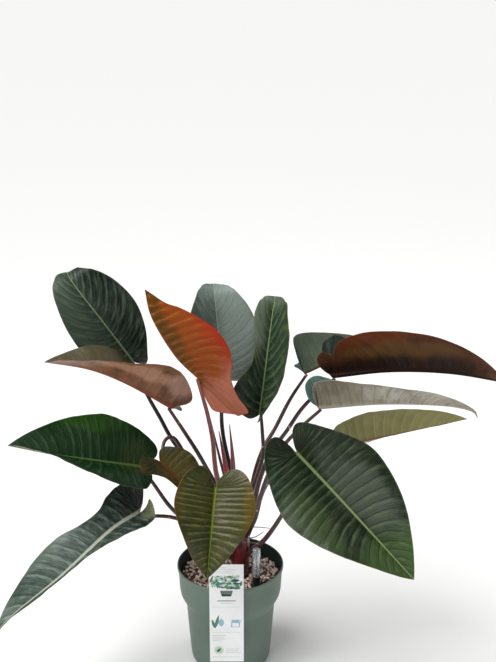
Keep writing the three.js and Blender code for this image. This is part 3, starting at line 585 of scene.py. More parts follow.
# shared by all blades
bladeForm = dict(
    columns=[0, .012, .026, .042, .06, .085, .115, .155, .2, .255, .315, .38, .45, .52, .59, .66, .73,
             .79, .85, .9, .94, .97, .988, 1],  # shares of a side vein, close at midrib and edge
    rowsPerVein=5, fanShare=0.4, fanPower=1.1,  # where and how fast the side veins leave the notch
    veinBend=(.25, .6), lobeReach=0.125, ribBlend=0.06,
    waveFade=2.5, farShift=.37,  # the wave dies out at both ends; the right half's starts later
    ripples=((.8, 7, 3, 1), (.35, 17, 5, -1)),  # height, count, how close to the edge, shift by side
    quiltRound=.7, quiltMiddle=.55, quiltEdge=.86, quiltFade=.55, rollPower=2.6,
    ribWide=.055, ribTaper=.7, ribLeast=.012, ribEnd=.82, grooveDeep=.45, grooveWide=.55,
    edgeThin=.45, veinHigh=.3, veinWide=.3, veinEnds=(.02, .9),
    boxRoom=2e-5, near=2e-5, least=1e-6)  # metres


def bladePlaces(leaf, rib, x, y, side, offset):
    # places on one half: x in midrib lengths, y in half widths, offset over the middle surface
    i = 0 if side < 0 else 1
    share = np.clip(x, 0, 1)
    centre, tangent = rib.place(share), rib.heading(share)
    face = unit(np.array(leaf["face"], dtype=float))
    tipFace = unit(np.array(leaf["tipFace"] or leaf["face"], dtype=float))
    normal = face + (tipFace - face) * share[..., None]
    normal = unit(normal - tangent * np.sum(normal * tangent, axis=-1, keepdims=True))
    across = np.cross(tangent, normal)
    tipFold = leaf["tipFold"] or leaf["fold"]
    bend = radians(leaf["bend"][i])
    fold = np.radians(leaf["fold"][i] + (tipFold[i] - leaf["fold"][i]) * share) + bend / 2
    half = leaf["half"][i] * 0.001
    curve = -bend / half
    turn = fold + curve * y * half
    out = (np.sin(turn) - np.sin(fold)) / curve
    rise = (np.cos(fold) - np.cos(turn)) / curve
    back = np.maximum(-x, 0)
    reach = back / (bladeForm["lobeReach"] * leaf["lobe"][i])
    rise = rise + leaf["lift"][i] * 0.001 * reach ** 2
    centre = centre - tangent * (back * rib.length)[..., None]
    blend = np.clip(np.abs(y) / bladeForm["ribBlend"], 0, 1)
    tilt = turn * blend * blend * (3 - 2 * blend)
    up = normal * np.cos(tilt)[..., None] - across * (side * np.sin(tilt))[..., None]
    out, rise, offset = (out * side)[..., None], rise[..., None], offset[..., None]
    return centre + across * out + normal * rise + up * offset


def bladeHalf(leaf, rib, side, phases):
    # one half: its upper and lower layer of places, and where each point lies for the two maps
    form = bladeForm
    i = 0 if side < 0 else 1
    outline = outlines[leaf.get("farShape", leaf["shape"]) if side > 0 else leaf["shape"]]
    t = np.linspace(0, 1, leaf["veins"] * form["rowsPerVein"] + 1)
    end = smoothCurve(outline, t * (len(outline) - 1), extend=False)
    end[:, 0] = np.where(end[:, 0] < 0, end[:, 0] * leaf["lobe"][i], end[:, 0])
    endX, endY = end[:, :1], end[:, 1:]
    t, q = np.meshgrid(t, form["columns"], indexing="ij")

    # each row is a side vein: a bent line from the midrib to the edge
    beyond = np.clip((t - form["fanShare"]) / (1 - form["fanShare"]), 0, 1)
    root = beyond ** form["fanPower"]
    bendX, bendY = form["veinBend"]
    x = root * (1 - q) ** 2 + (root + (endX - root) * bendX) * 2 * q * (1 - q) + endX * q * q
    y = endY * bendY * 2 * q * (1 - q) + endY * q * q

    height, count, start = leaf["wave"]
    fade = np.minimum(1, np.abs(endY) * form["waveFade"])
    shift = form["farShift"] if side > 0 else 0
    wave = height * np.sin(tau * (count * t + start + shift)) * fade * q ** 2
    for (high, many, power, bySide), phase in zip(form["ripples"], phases):
        ripple = high * np.sin(tau * many * t + phase + bySide * side)
        wave = wave + ripple * q ** power * np.abs(endY)
    swing = np.abs(np.sin(pi * leaf["veins"] * t)) ** form["quiltRound"]
    swell = np.sin(pi * np.minimum(q, form["quiltEdge"])) * np.abs(endY)
    swell = swell * (1 - form["quiltFade"] * beyond)
    quilt = leaf["quilt"] * (swing - form["quiltMiddle"]) * swell
    up, where, width = leaf["roll"][i]
    roll = up * q ** form["rollPower"] * np.exp(-((t - where) / width) ** 2)
    middle = (wave + quilt + roll) * .001

    # the thickness, a groove over the midrib, the midrib itself and the veins under the blade
    share = np.clip(x, 0, 1)
    narrow = form["ribWide"] * (1 - form["ribTaper"] * share) + form["ribLeast"]
    ridge = np.clip(1 - (np.abs(y) / narrow) ** 2, 0, 1) ** 2
    groove = form["grooveDeep"] * np.exp(-(y / (narrow * form["grooveWide"])) ** 2)
    thick = leaf["thickness"] * (1 - form["edgeThin"] * q ** 6) / 2
    deep = leaf["ribDepth"] * (1 - form["ribEnd"] * share) * ridge
    veins = form["veinHigh"] * (1 - np.clip(swing / form["veinWide"], 0, 1))
    veins = veins * np.sin(pi * np.clip(q, *form["veinEnds"]))
    upper = bladePlaces(leaf, rib, x, y, side, middle + (thick - groove) * .001)
    lower = bladePlaces(leaf, rib, x, y, side, middle - (thick + deep + veins) * .001)
    veinUv = np.stack([.5 + .5 * side * q, t], -1)
    bladeUv = np.stack([x, .5 + .5 * side * y], -1)
    return (upper, lower), veinUv, bladeUv


def bladeMesh(name, settings, seed):
    leaf = dict(bladeShape, **settings)
    rib = Route(mm(leaf["rib"]))
    phases = np.random.default_rng(seed).uniform(0, tau, len(bladeForm["ripples"]))
    verts, quads, slots = [], [], []
    maps = dict(veinMap=[], bladeMap=[])
    for side in (-1, 1):
        layers, veinUv, bladeUv = bladeHalf(leaf, rib, side, phases)
        first = len(verts)
        for layer in layers:
            verts.extend(layer.reshape(-1, 3).tolist())
            maps["veinMap"].extend(veinUv.reshape(-1, 2).tolist())
            maps["bladeMap"].extend(bladeUv.reshape(-1, 2).tolist())
        rows, n = veinUv.shape[:2]
        below = rows * n
        for r in range(rows - 1):
            for c in range(n - 1):
                a = first + r * n + c
                quad = (a, a + 1, a + n + 1, a + n) if side > 0 else (a, a + n, a + n + 1, a + 1)
                quads += [quad, tuple(v + below for v in reversed(quad))]
                slots += [0, 1]
            a = first + r * n + n - 1
            wall = (a, a + below, a + below + n, a + n)
            quads.append(wall if side > 0 else wall[::-1])
            slots.append(1)
    low, high = np.array(cadBox)
    verts = np.clip(verts, low + bladeForm["boxRoom"], high - bladeForm["boxRoom"]).tolist()
    mesh = bpy.data.meshes.new(name)
    mesh.from_pydata(verts, [], quads)
    corners = np.array([loop.vertex_index for loop in mesh.loops])
    for key, values in maps.items():
        mesh.uv_layers.new(name=key).data.foreach_set("uv", np.array(values)[corners].ravel())
    mesh.polygons.foreach_set("material_index", slots)
    cleanMesh(mesh, bladeForm["near"], bladeForm["least"])
    return mesh


for number, (name, settings) in enumerate(leaves.items()):
    materials = [leafMaterial(f"leaf_{name}_{face}", settings[face], settings["veins"])
                 for face in ("upper", "under")]
    blade = newObject(f"blade_{name}", bladeMesh(f"blade_{name}", settings, number), materials)
    settle(blade, f"leaf_{name}", f"leaf_{name}")
print("blades done:", len(leaves))


# Geometry Nodes tools

def bake(piece, tree, values):
    # runs a node tree on a piece and keeps the result as its mesh
    modifier = piece.modifiers.new(tree.name, "NODES")
    modifier.node_group = tree
    for item in tree.interface.items_tree:
        if item.in_out == "INPUT" and item.name in values:
            modifier[item.identifier] = values[item.name]
    graph = bpy.context.evaluated_depsgraph_get()
    mesh = bpy.data.meshes.new_from_object(piece.evaluated_get(graph))
    piece.modifiers.clear()
    piece.data = mesh
    return piece


def geometryTree(name, inputs):
    geometry = ("Geometry", "NodeSocketGeometry")
    return treeWith(name, "GeometryNodeTree", [(*geometry, None), *inputs], [geometry])


def finishTree(s, out, geometry, material):
    geometry = s.add("GeometryNodeRealizeInstances", {0: geometry}).outputs[0]
    geometry = s.add("GeometryNodeSetMaterial", {0: geometry, "Material": material}).outputs[0]
    s.put(out["Geometry"], geometry)


# Stalks, stem, sheaths and roots

# A round stalk along a line of points, as thick as the line's own radius says. It keeps how far
# along and how far round each point is.
def makeStalkTree(unevenScale=55.0):
    tree, s, given, out = geometryTree("stalkTube", [
        ("Sides", "NodeSocketInt", 16), ("Swell", "NodeSocketFloat", 0.0),
        ("Material", "NodeSocketMaterial", None)])
    curve = s.add("GeometryNodeMeshToCurve", {0: given["Geometry"]}).outputs[0]
    radius = s.add("GeometryNodeInputNamedAttribute", {"Name": "stalkRadius"}, data_type="FLOAT")
    uneven = s.noise(s.add("GeometryNodeInputPosition").outputs[0], unevenScale, 2.0)
    uneven = s.plus(s.sway(uneven, given["Swell"]), 1.0)
    radius = s.times(radius.outputs[0], uneven)
    curve = s.store(curve, "along", s.add("GeometryNodeSplineParameter").outputs[0])
    curve = s.add("GeometryNodeSetCurveRadius", {0: curve, "Radius": radius}).outputs[0]
    ring = {"Resolution": given["Sides"], "Radius": 1.0}
    ring = s.add("GeometryNodeCurvePrimitiveCircle", ring).outputs[0]
    ring = s.store(ring, "around", s.add("GeometryNodeSplineParameter").outputs[0])
    tube = s.add("GeometryNodeCurveToMesh", {
        "Curve": curve, "Profile Curve": ring, "Fill Caps": True,
        "Scale": s.add("GeometryNodeInputRadius").outputs[0]}).outputs[0]
    tube = s.add("GeometryNodeSetShadeSmooth", {0: tube}).outputs[0]
    finishTree(s, out, tube, given["Material"])
    return tree


stalkTree = makeStalkTree()

stalkFinish = dict(
    base=(62, 28, 36), second=(96, 52, 58), streak=(40, 16, 22), scar=(190, 176, 166), scarAmount=0.0,
    tipTone=None, rough=0.32, coat=0.3)
# shared by all stalks
stalkSkin = dict(
    coatRough=0.2, gloss=0.4, mottleSize=26.0, mottleFine=320.0, streakStretch=(9.0, 5.0),
    streakScale=2.2, streakBand=(0.46, 0.66), streakAmount=0.6, tipBand=(0.45, 1.0), scarScale=95.0,
    scarBand=(0.70, 0.73), relief=0.0003, reliefStrength=0.5)


def stalkMaterial(name, finish):
    look = dict(stalkFinish, **stalkSkin, **finish)
    material, s, surface = newMaterial(name, {
        "Coat Weight": look["coat"], "Coat Roughness": look["coatRough"], "Roughness": look["rough"],
        "Specular IOR Level": look["gloss"]})
    place, along, around = s.here(), s.attribute("along"), s.attribute("around")
    mottle = mottled(s, place, look["mottleSize"], look["mottleFine"])
    tone = s.mix(mottle["Tone"], look["base"], look["second"])
    stretchAround, stretchAlong = look["streakStretch"]
    lines = s.combine(s.times(around, stretchAround), s.times(along, stretchAlong))
    streak = s.band(s.noise(lines, look["streakScale"]), *look["streakBand"])
    tone = s.cover(tone, streak, look["streakAmount"], look["streak"])
    if look["tipTone"]:
        tone = s.mix(s.band(along, *look["tipBand"]), tone, look["tipTone"])
    if look["scarAmount"]:
        spot = s.band(s.noise(place, look["scarScale"], 1.0), *look["scarBand"])
        tone = s.cover(tone, spot, look["scarAmount"], look["scar"])
    s.put(surface.inputs["Base Color"], tone)
    s.bump(surface, s.plus(streak, mottle["Grain"]), look["relief"], look["reliefStrength"])
    return material


def stalkPiece(name, points, radii, material, steps=70, sides=16, swell=0.0):
    route = Route(points)
    share = np.linspace(0, 1, steps + 1)
    radius = np.interp(share, np.linspace(0, 1, len(radii)), radii) * 0.001
    mesh = bpy.data.meshes.new(name)
    mesh.from_pydata(route.place(share).tolist(), [(i, i + 1) for i in range(steps)], [])
    mesh.attributes.new("stalkRadius", "FLOAT", "POINT").data.foreach_set("value", radius)
    piece = newObject(name, mesh, [], smooth=False)
    return bake(piece, stalkTree, {"Sides": sides, "Swell": swell, "Material": material})


stalkTones = dict(
    stalk_dark=dict(base=(30, 20, 24), second=(44, 32, 36), streak=(16, 10, 13)),
    stalk_plum=dict(base=(52, 26, 30), second=(86, 54, 56), streak=(34, 15, 19), scarAmount=0.8),
    stalk_brick=dict(base=(112, 46, 44), second=(134, 70, 64), streak=(90, 32, 32)),
)
stalkMaterials = {name: stalkMaterial(name, finish) for name, finish in stalkTones.items()}

# Each stalk starts inside the stem and runs on into the midrib of its blade; under and ahead say
# where it ends there, seen from the start of the midrib.
stalkShape = dict(skin="stalk_plum", radii=(5, 4.2, 3.6, 3.3, 2.6), swell=0.12, under=4.3, ahead=3)
stalks = dict(
    top_left=dict(
        skin="stalk_dark",
        points=[(14, -2, 250), (2, 12, 285), (-42, 20, 325), (-92, 34, 385), (-117, 45, 428),
                (-140, 54, 470)]),
    copper_left=dict(
        points=[(16, -3, 244), (-4, -2, 290), (-28, -5, 338), (-50, -10, 385), (-74, -15, 430)]),
    new_red=dict(
        skin="stalk_brick",
        points=[(8, -7, 292), (-10, -17, 316), (-22, -24, 360), (-27, -28, 420), (-34, -34, 465),
                (-41, -39, 497)]),
    back_grey=dict(
        skin="stalk_dark",
        points=[(10, -6, 280), (8, 14, 315), (-4, 32, 360), (-12, 42, 400), (-14, 48, 440)]),
    top_centre=dict(
        points=[(18, -2, 240), (30, 14, 288), (45, 22, 330), (55, 25, 369), (54, 29, 405)]),
    right_back=dict(
        points=[(18, -1, 225), (32, 20, 270), (40, 36, 322), (55, 52, 366), (76, 72, 396),
                (102, 95, 440)]),
    right_brown=dict(
        points=[(18, -1, 232), (38, -3, 285), (49, 3, 332), (68, 7, 382), (92, 9, 417),
                (123, 10, 465)]),
    right_silver=dict(
        points=[(17, -1, 215), (40, -16, 268), (51, -25, 318), (64, -30, 362), (84, -35, 408),
                (113, -38, 445)]),
    right_olive=dict(
        points=[(16, 0, 200), (38, 14, 248), (60, 38, 305), (102, 66, 343), (148, 77, 351)]),
    front_right=dict(
        points=[(15, 0, 184), (36, -10, 208), (60, -24, 240), (88, -50, 302), (109, -74, 368)]),
    front_centre=dict(points=[(17, 0, 205), (14, -28, 242), (-2, -62, 306), (-14, -90, 355)]),
    left_long=dict(
        points=[(17, 0, 198), (-8, -8, 222), (-50, -10, 246), (-96, -8, 285), (-131, -6, 338)]),
    small_olive=dict(
        points=[(17, 0, 226), (-8, 2, 262), (-41, 0, 318), (-76, -4, 388), (-92, -6, 414),
                (-106, -14, 410)]),
    lower_left=dict(points=[(16, 0, 176), (-6, -12, 204), (-41, -28, 252), (-90, -44, 288)]),
)
for name, settings in stalks.items():
    stalk = dict(stalkShape, **settings)
    rib = Route(mm(leaves[name]["rib"]))
    start, tangent = rib.place(0.0), rib.heading(0.0)
    normal = unit(np.array(leaves[name]["face"], dtype=float))
    normal = unit(normal - tangent * np.dot(normal, tangent))
    end = start - normal * mm(stalk["under"]) + tangent * mm(stalk["ahead"])
    points = np.vstack([mm(stalk["points"]), end])
    material = stalkMaterials[stalk["skin"]]
    piece = stalkPiece(f"stalk_{name}", points, stalk["radii"], material, swell=stalk["swell"])
    settle(piece, stalk["skin"], f"stalk_{name}")
print("stalks done:", len(stalks))

stem = dict(
    points=[(12, 0, 70), (16, 0, 170), (19, -1, 225), (13, -4, 268), (6, -7, 300)],
    radii=(11, 15, 15, 12, 8), build=dict(steps=60, sides=40, swell=0.05),
    skin=dict(base=(92, 18, 24), second=(120, 30, 34), streak=(54, 10, 16), rough=.3, coat=.5))
stemPiece = stalkPiece("stemBody", mm(stem["points"]), stem["radii"],
                       stalkMaterial("stem_skin", stem["skin"]), **stem["build"])
settle(stemPiece, "stem_skin", "stem")

sheaths = dict(
    sheath_crimson=dict(
        points=[(7, -12, 292), (-3, -16, 345), (-17, -16, 430)], radii=(5, 4.2, .7),
        slot="sheath_red",
        skin=dict(base=(160, 26, 28), second=(134, 18, 24), streak=(100, 12, 20),
                  tipTone=(104, 30, 34), rough=.28, coat=.4)),
    sheath_mauve=dict(
        points=[(7, -2, 292), (5, -4, 372), (0, -3, 436)], radii=(4.6, 4, .7), slot="sheath_mauve",
        skin=dict(base=(146, 74, 78), second=(126, 58, 66), streak=(104, 44, 52),
                  tipTone=(112, 60, 66))),
    sheath_thin=dict(
        points=[(4, -10, 292), (-16, 0, 372), (-34, 2, 456)], radii=(2.6, 2.4, .6),
        slot="stalk_plum",
        skin=dict(base=(74, 42, 46), second=(96, 60, 62))),
)
for name, sheath in sheaths.items():
    material = stalkMaterial(name, sheath["skin"])
    piece = stalkPiece(f"{name}_skin", mm(sheath["points"]), sheath["radii"], material)
    settle(piece, sheath["slot"], name)

roots = dict(
    aerial_root_1=dict(
        points=[(20, -10, 250), (42, -20, 258), (66, -22, 257)], radius=.9, slot="root_dark"),
    aerial_root_2=dict(
        points=[(18, -10, 232), (40, -22, 240), (56, -24, 251)], radius=.9, slot="root_dark"),
    aerial_root_3=dict(
        points=[(18, -10, 224), (36, -22, 230), (50, -26, 229)], radius=.8, slot="root_pale"),
)
rootShape = dict(tip=.6, build=dict(steps=40, sides=8, swell=.3))
rootTones = dict(
    root_dark=dict(base=(48, 42, 38), second=(66, 58, 50), rough=.6, coat=0.0),
    root_pale=dict(base=(170, 158, 146), second=(140, 124, 112), streak=(110, 94, 84), rough=.7,
                   coat=0.0),
)
rootMaterials = {name: stalkMaterial(name, finish) for name, finish in rootTones.items()}
for name, root in roots.items():
    radii = (root["radius"], root["radius"], root["radius"] * rootShape["tip"])
    piece = stalkPiece(f"{name}_skin", mm(root["points"]), radii, rootMaterials[root["slot"]],
                       **rootShape["build"])
    settle(piece, root["slot"], name)
print("stem, sheaths and roots done")


# Pot and gauge: turned shapes

def roundedProfile(points, steps=5, most=.48):
    # corners as radius, height and rounding; a rounding takes at most that share of a side
    points = [np.array(p, dtype=float) for p in points]
    line = []
    for i, p in enumerate(points):
        if p[2] == 0 or i in (0, len(points) - 1):
            line.append(p[:2])
            continue
        before, after = points[i - 1][:2] - p[:2], points[i + 1][:2] - p[:2]
        reach = min(p[2], np.linalg.norm(before) * most, np.linalg.norm(after) * most)
        a, c = p[:2] + unit(before) * reach, p[:2] + unit(after) * reach
        for k in range(steps + 1):
            f = k / steps
            line.append(a * (1 - f) ** 2 + p[:2] * 2 * f * (1 - f) + c * f * f)
    return np.array(line) * 0.001


def turnedPiece(name, line, materials, centre=(0, 0), segments=128, inner=None):
    # the outward side lies on the line's right; inner tells the second material's part of the line
    verts, faces, slots = [], [], []
    for r, z in line:
        for k in range(segments):
            angle = tau * k / segments
            verts.append((centre[0] + r * cos(angle), centre[1] + r * sin(angle), z))
    for i in range(len(line) - 1):
        for k in range(segments):
            a, b = i * segments + k, i * segments + (k + 1) % segments
            faces.append((a, b, b + segments, a + segments))
            slots.append(1 if inner and inner(*(line[i] + line[i + 1]) / 2) else 0)
    mesh = bpy.data.meshes.new(name)
    mesh.from_pydata(verts, [], faces)
    mesh.polygons.foreach_set("material_index", slots)
    cleanMesh(mesh, near=1e-6, least=1e-7, turnOut=True)
    return newObject(name, mesh, materials)


plasticFinish = dict(
    gloss=0.35, shade=.86, size=9.0, fine=900.0, coat=0.0, roughSpan=0.1, relief=0.0002,
    reliefStrength=.25)


def plasticMaterial(name, tone, rough, **finish):
    # moulded plastic: uneven tone and gloss with a fine grain
    look = dict(plasticFinish, **finish)
    material, s, surface = newMaterial(name, {
        "Specular IOR Level": look["gloss"], "Coat Weight": look["coat"]})
    mottle = mottled(s, s.here(), look["size"], look["fine"])
    light = colour(*tone)
    dark = (*(value * look["shade"] for value in light[:3]), 1)
    s.put(surface.inputs["Base Color"], s.mix(mottle["Tone"], dark, light))
    uneven = s.times(mottle["Tone"], look["roughSpan"])
    s.put(surface.inputs["Roughness"], s.plus(uneven, rough - look["roughSpan"] / 2))
    s.bump(surface, mottle["Grain"], look["relief"], look["reliefStrength"])
    return material


# insideRadii at insideHeights run through the middle of the wall: what lies within, above the floor
# and not on the rim takes the darker tone, dark plastic with painted shade
pot = dict(
    outside=[
        (0, 0, 0), (61, 0, 1.2), (65.4, 2.2, 2), (67.8, 8, 4), (69, 20, 8), (73, 72, 20),
        (75.3, 108, 3), (77.5, 113, 4), (84.4, 126, 6), (86.4, 137, 8), (87.2, 157, 10),
        (88.6, 172, 1.2), (90, 174, .6), (90, 179.2, .5), (89.2, 180, .4)],
    inside=[
        (87.4, 179.4, .6), (86.8, 172, 3), (85.4, 157, 8), (84.6, 137, 8), (82.6, 126, 6),
        (75.7, 113, 4), (73.5, 108, 3), (71.2, 72, 20), (67.2, 20, 8), (66, 8, 3), (61, 4, 2),
        (0, 4, 0)],
    # the inside's tone is dark plastic darkened further by painted shade
    outTone=(106, 125, 113), inShadedTone=(30, 44, 38), insideHeights=(0, 20, 108, 126, 180),
    insideRadii=(62, 68.2, 74.5, 83.6, 88.8), insideMost=88.2, insideFloor=3.5)


def insidePot(r, z):
    wall = np.interp(z, mm(pot["insideHeights"]), mm(pot["insideRadii"]))
    return r < min(wall, mm(pot["insideMost"])) and z > mm(pot["insideFloor"])


potMaterials = [plasticMaterial("pot_outside", pot["outTone"], .5),
                plasticMaterial("pot_inside_shaded", pot["inShadedTone"], .55)]
potPiece = turnedPiece("potShell", roundedProfile(pot["outside"] + pot["inside"]), potMaterials,
                       segments=160, inner=insidePot)
settle(potPiece, "pot_plastic", "pot")
print("pot done")

# marks: the height of the lowest, the step between them, how long, deep and high each one is, how
# far they stand before the gauge's middle, and by how much every other one is shorter
gauge = dict(
    centre=(44, -37),
    body=[(0, 24, 0), (6.5, 24, .5), (6.5, 175, .4), (5.1, 175, 0), (5.1, 179, .3), (3, 179, .3),
          (3, 27, 0), (0, 27, 0)],
    tube=[(5.4, 175.3, 0), (6.5, 175.3, .2), (6.5, 225, 1.2), (4.5, 227, 1.2), (0, 227, 0),
          (0, 225.6, 0), (5.4, 224.6, 1), (5.4, 175.3, 0)],
    rod=[(0, 27.3, 0), (2.6, 27.3, .3), (2.6, 73.3, .4), (1.2, 75.3, .3), (1.2, 201, .3),
         (2, 202, .5), (2, 213, .6), (0, 214, 0)],
    plastics=dict(
        body=dict(tone=(30, 40, 36), rough=.35, size=60.0),
        rod=dict(tone=(206, 212, 212), rough=.45, size=80.0),
        mark=dict(tone=(30, 34, 34), rough=.5, size=400.0)),
    clear={"Base Color": (236, 240, 240), "Roughness": 0.06, "IOR": 1.46, "Transmission Weight": 0.8},
    marks=dict(low=182, step=5, count=8, length=2.2, depth=.3, height=.6, ahead=6.55, shorter=.4))
gaugeMaterials = {key: plasticMaterial(f"gauge_{key}", **finish)
                  for key, finish in gauge["plastics"].items()}
clearMaterial = newMaterial("gauge_clear", gauge["clear"])[0]
for name, line, material, segments, slot, node in (
        ("gaugeFoot", gauge["body"], gaugeMaterials["body"], 40, "gauge_body_plastic", "gauge_body"),
        ("gaugeGlass", gauge["tube"], clearMaterial, 48, "gauge_tube_clear", "gauge_tube"),
        ("gaugeRod", gauge["rod"], gaugeMaterials["rod"], 24, "gauge_indicator_plastic",
         "gauge_indicator")):
    piece = turnedPiece(name, roundedProfile(line), [material], mm(gauge["centre"]), segments)
    settle(piece, slot, node)


# Level marks: a row of short bars up the front of the tube, every other one shorter.
def makeMarkTree():
    tree, s, given, out = geometryTree("levelMarks", [
        ("Count", "NodeSocketInt", 8), ("Step", "NodeSocketFloat", 0.005),
        ("Length", "NodeSocketFloat", 0.0022), ("Depth", "NodeSocketFloat", 0.0003),
        ("Height", "NodeSocketFloat", 0.0006), ("Shorter", "NodeSocketFloat", 0.4),
        ("Material", "NodeSocketMaterial", None)])
    line = s.add("GeometryNodeMeshLine", {"Count": given["Count"]}, mode="OFFSET")
    s.put(line.inputs["Offset"], s.combine(0.0, 0.0, given["Step"]))
    bar = s.add("GeometryNodeMeshCube", {
        "Size": s.combine(given["Length"], given["Depth"], given["Height"])})
    odd = s.math("MODULO", s.add("GeometryNodeInputIndex").outputs[0], 2.0)
    share = s.minus(1.0, s.times(odd, given["Shorter"]))
    bars = s.add("GeometryNodeInstanceOnPoints", {
        "Points": line.outputs[0], "Instance": bar.outputs[0], "Scale": s.combine(share, 1.0, 1.0)})
    finishTree(s, out, bars.outputs[0], given["Material"])
    return tree


marks = gauge["marks"]
marksPiece = newObject("gaugeMarks", bpy.data.meshes.new("gaugeMarks"), [], smooth=False)
bake(marksPiece, makeMarkTree(), {
    "Count": marks["count"], "Step": marks["step"] * .001, "Length": marks["length"] * .001,
    "Depth": marks["depth"] * .001, "Height": marks["height"] * .001, "Shorter": marks["shorter"],
    "Material": gaugeMaterials["mark"]})
across, back = gauge["centre"]
for vertex in marksPiece.data.vertices:
    vertex.co += Vector(mm((across, back - marks["ahead"], marks["low"])))
settle(marksPiece, "gauge_body_plastic")
print("gauge done")


# Bed: a filled body with loose granules on it

# stem and gauge: the circles that stay free of granules, as two places and a radius
bed = dict(
    outside=[
        (0, 4.3, 0), (60, 4.3, 0), (66.9, 20, 0), (70.9, 72, 0), (73.2, 108, 0), (75.4, 113, 0),
        (82.3, 126, 0), (84.3, 137, 0), (84.3, 156, 0), (0, 156, 0)],
    spacing=3.9, size=2.7, seed=11, reach=81.5, stem=(16, 0, 18.5), gauge=(44, -37, 9.5))
# a loose granule's stretch and lift, each between two values, its broken surface, and the seeds
grains = dict(
    density=90000.0, above=155.5, least=(.6, .5, .45), most=(1.35, 1.05, .95), lift=(.2, 2.8),
    turnMost=6.28, roughScale=330.0, roughPush=4.5,
    seeds=dict(turn=3, scale=5, tone=9, lift=21))


def makeGranuleTree(look):
    tree, s, given, out = geometryTree("looseGranules", [
        ("Spacing", "NodeSocketFloat", 0.005), ("Size", "NodeSocketFloat", 0.0035),
        ("Seed", "NodeSocketInt", 1), ("Reach", "NodeSocketFloat", 0.08),
        ("Above", "NodeSocketFloat", 0.15), ("Stem", "NodeSocketVector", None),
        ("Gauge", "NodeSocketVector", None), ("Material", "NodeSocketMaterial", None)])
    here = s.split(s.add("GeometryNodeInputPosition").outputs[0])
    seeds = look["seeds"]

    def clearOf(spot):
        # 1 outside the circle whose centre is the spot's x and y and whose radius is its z
        part = s.split(spot)
        x, y = s.minus(here[0], part[0]), s.minus(here[1], part[1])
        return s.math("GREATER_THAN", s.length(x, y), part[2])

    def randomVector(low, high, seed):
        values = {0: low, 1: high, "Seed": seed}
        return s.add("FunctionNodeRandomValue", values, data_type="FLOAT_VECTOR").outputs[0]

    keep = s.times(s.math("LESS_THAN", s.length(here[0], here[1]), given["Reach"]),
                  s.math("GREATER_THAN", here[2], given["Above"]))
    free = s.times(clearOf(given["Stem"]), clearOf(given["Gauge"]))
    keep = s.times(keep, free)
    points = s.add("GeometryNodeDistributePointsOnFaces", {
        "Mesh": given["Geometry"], "Distance Min": given["Spacing"], "Density Max": look["density"],
        "Seed": given["Seed"]}, distribute_method="POISSON").outputs[0]
    grain = s.add("GeometryNodeMeshIcoSphere", {"Radius": given["Size"], "Subdivisions": 2})
    loose = s.add("GeometryNodeInstanceOnPoints", {
        "Points": points, "Instance": grain.outputs[0], "Selection": keep,
        "Rotation": randomVector((0, 0, 0), (look["turnMost"],) * 3, seeds["turn"]),
        "Scale": randomVector(look["least"], look["most"], seeds["scale"])}).outputs[0]
    tone = s.add("FunctionNodeRandomValue", {"Seed": seeds["tone"]}, data_type="FLOAT").outputs[1]
    loose = s.store(loose, "grainTone", tone, domain="INSTANCE")
    low, high = mm(look["lift"])
    loose = s.shift(loose, randomVector((0, 0, low), (0, 0, high), seeds["lift"]))
    loose = s.add("GeometryNodeRealizeInstances", {0: loose}).outputs[0]
    place = s.add("GeometryNodeInputPosition").outputs[0]
    rough = s.add("ShaderNodeTexNoise", {
        "Vector": place, "Scale": look["roughScale"], "Detail": 1.0}).outputs["Color"]
    push = s.add("ShaderNodeVectorMath", {0: rough, 1: (.5, .5, .5)}, operation="SUBTRACT")
    push = {0: push.outputs[0], "Scale": look["roughPush"] * .001}
    loose = s.shift(loose, s.add("ShaderNodeVectorMath", push, operation="SCALE").outputs[0])
    loose = s.add("GeometryNodeSetShadeSmooth", {0: loose, "Shade Smooth": False}).outputs[0]
    whole = s.add("GeometryNodeJoinGeometry")
    s.put(whole.inputs[0], given["Geometry"])
    s.put(whole.inputs[0], loose)
    finishTree(s, out, whole.outputs[0], given["Material"])
    return tree


# steps: from which share of the granules on each lighter tone is taken; dark is the darkest granules
# and the bed body under the loose granules, where it is painted shade between them
granuleFinish = dict(
    rough=0.85, gloss=0.25, size=300.0, fine=900.0, dark=(74, 46, 44),
    steps=((.10, .11, (184, 144, 130)), (.20, .24, (224, 200, 184)), (.50, .54, (244, 234, 222))),
    dust=(160, 128, 114), dustAmount=.25, relief=0.0006, reliefStrength=0.6)


def makeGranuleMaterial(look):
    material, s, surface = newMaterial("granules", {
        "Roughness": look["rough"], "Specular IOR Level": look["gloss"]})
    share, mottle = s.attribute("grainTone"), mottled(s, s.here(), look["size"], look["fine"])
    # the bed body has no granule tone and takes the dark tone: painted shade under the granules
    tone = look["dark"]
    for low, high, lighter in look["steps"]:
        tone = s.mix(s.band(share, low, high), tone, lighter)
    tone = s.cover(tone, mottle["Tone"], look["dustAmount"], look["dust"])
    s.put(surface.inputs["Base Color"], tone)
    s.bump(surface, mottle["Grain"], look["relief"], look["reliefStrength"])
    return material


granuleMaterial = makeGranuleMaterial(granuleFinish)
bedPiece = turnedPiece("bedGranules", roundedProfile(bed["outside"]), [granuleMaterial], segments=64)
bake(bedPiece, makeGranuleTree(grains), {
    "Spacing": bed["spacing"] * .001, "Size": bed["size"] * .001, "Seed": bed["seed"],
    "Reach": bed["reach"] * .001, "Above": grains["above"] * .001, "Stem": mm(bed["stem"]).tolist(),
    "Gauge": mm(bed["gauge"]).tolist(), "Material": granuleMaterial})
settle(bedPiece, "bed_granules", "bed")
print("bed done:", len(bedPiece.data.polygons), "faces")


# Card: a plate with a slot, its tongue over the rim, and a printed face

